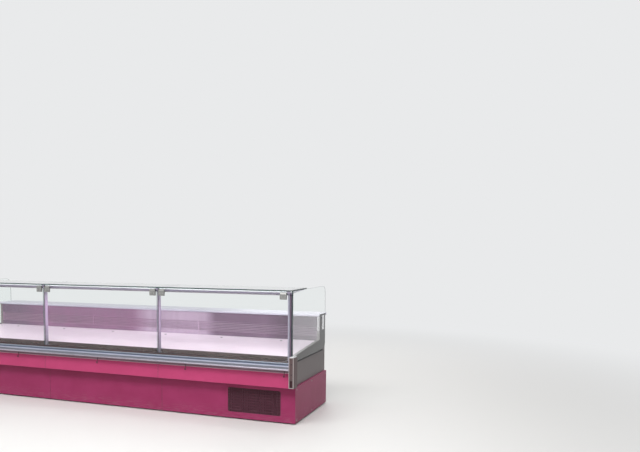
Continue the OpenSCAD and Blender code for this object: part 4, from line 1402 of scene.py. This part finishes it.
    def gaskets(self) -> None:
        """The gasket between each end post and its end pane, with a lip over the post's rounded corner."""
        low, high = place_of("end_posts")
        pane = place_of("end_glass_right")[0][0]
        lip, inside, chamfer = high[0] - self.gasket_lip, high[0] - ROOT, self.gasket_chamfer
        front, notch, back = low[1] + np.array([-self.gasket_proud, self.gasket_notch, self.gasket_depth])
        outline = np.array([(lip, front), (pane - chamfer, front), (pane, front + chamfer), (pane, back),
                            (inside, back), (inside, notch), (lip, low[1] + SINK)])
        below, above = self.gasket_ends
        gasket = bar(outline, low[2] + below, high[2] - above, Axis.Z)
        self.add("post_gaskets", [at_both_ends([gasket])], "seal_vinyl")


@dataclass
class Lamps(Assembly):
    """The lamp tubes under the shelf; the profiles are rows of distance from a tube's skin and length."""

    holder_reach: float = 48.5
    cap: tuple = ((-0.4, 0.0), (0.35, 0.8), (0.35, 11.0), (-0.2, 12.0))
    clip: tuple = ((-0.2, 0.0), (0.8, 0.2), (0.8, 8.8), (-0.2, 9.0))
    clip_shares: Pair = (0.25, 0.75)

    def build(self) -> None:
        """Builds the metal caps at the ends of the tubes and the spring clips that hold them."""
        low, high = place_of("lamp_tubes")
        (_, y, z), radius = (low + high) / 2, (high[2] - low[2]) / 2
        starts = (low[0], *(self.joints + self.holder_reach))
        ends = (*(self.joints - self.holder_reach), high[0])
        caps = (*starts, *(end - self.cap[-1][1] for end in ends))
        clips = [a + (b - a) * share for a, b in zip(starts, ends) for share in self.clip_shares]
        for name, profile, xs in (("tube_caps", self.cap, caps), ("tube_clips", self.clip, clips)):
            rows = [(radius + out, along) for out, along in profile]
            self.add(name, [turned(rows, (x, y, z), Axis.X) for x in xs], "bright_trim")


@dataclass
class ServiceSide(Assembly):
    """The worktop and the plain rear."""

    panel_screw: Pair = (5.5, 2.4)
    screw_from_joint: float = 52.5
    screw_margins: Pair = (110.0, 30.0)
    kick_start: float = 1.0
    kick_height: float = 80.0
    kick_thickness: float = 3.0
    kick_corners: Pair = (1.0, 2.0)
    seam_half: float = 0.7
    seam_proud: float = 0.15
    seam_corner: float = 0.1
    seam_ends: Pair = (10.0, 1.0)

    def build(self) -> None:
        """Builds the screws of the rear panels, the strip along their foot and the worktop's seams."""
        self.panel_screws()
        self.kick_strip()
        self.seams()

    def panel_screws(self) -> None:
        """Three screws up each side and up the middle of every rear panel."""
        low, high = place_of("rear_panels")
        ends = [low[0] + self.screw_from_joint, high[0] - self.screw_from_joint]
        beside = [x + k * self.screw_from_joint for x in self.joints for k in BOTH]
        middles = [(a + b) / 2 for a, b in zip(self.posts, self.posts[1:])]
        below, above = self.screw_margins
        zs = (low[2] + below, (low[2] + high[2]) / 2, high[2] - above)
        heads = [screw((float(x), high[1], z), Axis.Y, 1, *self.panel_screw)
                 for x in ends + beside + middles for z in zs]
        self.add("rear_panel_screws", heads, "zinc_plate")

    def kick_strip(self) -> None:
        """The dark strip along the foot of the rear panels."""
        low, high = place_of("rear_panels")
        root, face = high[1] - ROOT, high[1] + self.kick_thickness
        foot, top = low[2] + self.kick_start, low[2] + self.kick_height
        corners = [(root, foot), (face, foot), (face, top), (root, top)]
        outline = rounded(corners, [0, *self.kick_corners, 0], steps=4)
        self.add("rear_kick_strip", [bar(outline, low[0], high[0])], "sill_vinyl")

    def seams(self) -> None:
        """A thin cover strip over each joint of the worktop's plates."""
        low, high = place_of("worktop")
        (front, rear), half = self.seam_ends, self.seam_half
        z0, z1 = high[2] - ROOT, high[2] + self.seam_proud
        seams = [block((x - half, low[1] + front, z0), (x + half, high[1] - rear, z1), Axis.Y,
                       self.seam_corner) for x in self.joints]
        self.add("worktop_seams", seams, "galvanised_steel")


@dataclass
class Trims(Assembly):
    """Screws of the stainless clips on the end panes."""

    clip_face: float = 1996.0
    clip_screw: Pair = (5.0, 2.2)
    ys: Pair = (260.0, 420.0)
    zs: Pair = (790.0, 872.0)

    def build(self) -> None:
        """Builds the screws of the glass clips."""
        places = [(self.clip_face, y, z) for y in self.ys for z in self.zs]
        heads = [screw(place, Axis.X, 1, *self.clip_screw) for place in places]
        self.add("clip_screws", [at_both_ends(heads)], "zinc_plate")


@dataclass
class Studio:
    """Camera, lamps, floor and surroundings, with places in metres; none of it is a part of the counter."""

    camera_place: Vec = (3.9215, -6.09, 1.56)
    camera_turn: Vec = (85.22, -0.13, 22.23)
    sensor: float = 36.0
    lens: float = 38.5
    shift: Pair = (0.102, 0.1244)
    floor_colour: str = "#E6E5E3"
    floor_bounce: str = "#A39B95"
    floor_roughness: float = 0.6
    floor_half: float = 60.0
    floor_fade: Pair = (3.0, 8.0)
    background: str = "#E9EAEB"
    world_colour: str = "#FFFFFF"
    world_light: float = 0.45
    lamps: tuple = (
        # name, place, point that it faces, size, watts
        ("ceiling_softbox", (1.2, -4.1, 5.1), (0.4, -0.2, 0.6), (6.0, 2.0), 285.0),
        ("front_softbox", (2.5, -6.5, 2.4), (0.4, -0.3, 0.5), (4.0, 2.5), 60.0),
        ("left_softbox", (-6.0, -2.0, 3.2), (0.0, 0.0, 0.7), (3.0, 3.0), 40.0),
        ("rear_softbox", (1.0, 5.5, 4.0), (0.0, 0.0, 0.8), (5.0, 2.5), 110.0),
    )

    def build(self) -> None:
        """Builds the whole studio."""
        self.camera()
        self.floor()
        self.world()
        for lamp in self.lamps:
            self.softbox(*lamp)
        bpy.context.scene.view_settings.view_transform = "Standard"

    def camera(self) -> None:
        """The camera at the photograph's place, with its turn, lens and cropped framing."""
        data = bpy.data.cameras.new("viewpoint")
        data.sensor_width, data.lens = self.sensor, self.lens
        data.shift_x, data.shift_y = self.shift
        made = bpy.data.objects.new("viewpoint", data)
        made.location = self.camera_place
        made.rotation_euler = [math.radians(a) for a in self.camera_turn]
        bpy.context.scene.collection.objects.link(made)
        bpy.context.scene.camera = made

    def seen(self, tree: Tree) -> Socket:
        """Tells what looks at the floor or the surroundings.

        Args:
            tree: their node tree.

        Returns:
            1 for the eye, gloss and glass, and 0 for the light that falls on things.
        """
        ray = add_node(tree, "LightPath")
        share = ray.outputs["Is Camera Ray"]
        for name in ("Is Glossy Ray", "Is Transmission Ray"):
            share = add_node(tree, "Math", links={0: share, 1: ray.outputs[name]},
                             operation="MAXIMUM").outputs[0]
        return share

    def floor(self) -> None:
        """A wide pale floor that keeps the shadow near the counter and fades into the background."""
        mesh = bpy.data.meshes.new("floor")
        half = self.floor_half
        corners = [(-half, -half, 0), (half, -half, 0), (half, half, 0), (-half, half, 0)]
        mesh.from_pydata(corners, [], [(0, 1, 2, 3)])
        made = bpy.data.objects.new("floor", mesh)
        bpy.context.scene.collection.objects.link(made)
        material = bpy.data.materials.new("pale_floor")
        material.use_nodes = True
        tree = material.node_tree
        shader = tree.nodes["Principled BSDF"]
        seen = self.seen(tree)
        tones = {6: linear(self.floor_bounce), 7: linear(self.floor_colour)}
        colour = add_node(tree, "Mix", tones, {0: seen}, data_type="RGBA").outputs[2]
        tree.links.new(colour, shader.inputs["Base Color"])
        shader.inputs["Roughness"].default_value = self.floor_roughness
        where = add_node(tree, "TexCoord").outputs["Object"]
        away = add_node(tree, "VectorMath", links={0: where}, operation="LENGTH").outputs["Value"]
        fade = add_node(tree, "MapRange", {1: self.floor_fade[0], 2: self.floor_fade[1]}, {0: away},
                        interpolation_type="SMOOTHSTEP").outputs[0]
        share = add_node(tree, "Math", links={0: fade, 1: seen}, operation="MULTIPLY").outputs[0]
        glow = add_node(tree, "Emission", {"Color": linear(self.background), "Strength": 1.0})
        both = add_node(tree, "MixShader", links={0: share, 1: shader.outputs[0], 2: glow.outputs[0]})
        tree.links.new(both.outputs[0], tree.nodes["Material Output"].inputs["Surface"])
        mesh.materials.append(material)

    def world(self) -> None:
        """Even light from all round; the eye, gloss and glass see a pale background."""
        world = bpy.data.worlds.new("surroundings")
        bpy.context.scene.world = world
        world.use_nodes = True
        tree = world.node_tree
        tree.nodes.clear()
        lit = {"Color": linear(self.world_colour), "Strength": self.world_light}
        shown = {"Color": linear(self.background), "Strength": 1.0}
        light, pale = [add_node(tree, "Background", values).outputs[0] for values in (lit, shown)]
        both = add_node(tree, "MixShader", links={0: self.seen(tree), 1: light, 2: pale})
        add_node(tree, "OutputWorld", links={"Surface": both.outputs[0]})

    def softbox(self, name: str, place: Vec, target: Vec, size: Pair, watts: float) -> None:
        """A large soft lamp that faces a point.

        Args:
            name: name of the lamp.
            place: where it hangs.
            target: the point that it faces.
            size: its width and height.
            watts: its power.
        """
        data = bpy.data.lights.new(name, "AREA")
        data.shape, data.size, data.size_y, data.energy = "RECTANGLE", size[0], size[1], watts
        made = bpy.data.objects.new(name, data)
        made.location = place
        away = np.array(target) - np.array(place)
        flat = math.hypot(away[0], away[1])
        made.rotation_euler = (math.atan2(flat, -away[2]), 0.0, math.atan2(away[1], away[0]) - math.pi / 2)
        bpy.context.scene.collection.objects.link(made)


def post_middles(width: float = 25.0) -> Array:
    """The middles of the four posts along the counter, half a post's width inside their outer sides.

    Args:
        width: width of a post.

    Returns:
        The four places, from left to right.
    """
    (low, high), (inner_low, inner_high) = place_of("end_posts"), place_of("middle_posts")
    sides = np.array([low[0], inner_low[0], inner_high[0], high[0]])
    return sides + np.array([1, 1, -1, -1]) * width / 2


def main() -> None:
    """Loads the frame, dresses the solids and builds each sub-assembly."""
    logging.basicConfig(level=logging.INFO, format="%(message)s")
    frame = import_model()
    Studio().build()
    palette = Palette()
    palette.dress(frame)
    posts = post_middles()
    for assembly in (Plinth, Bumper, Well, Glazing, Lamps, ServiceSide, Trims):
        assembly(palette, posts).build()


if __name__ == "__main__":
    main()
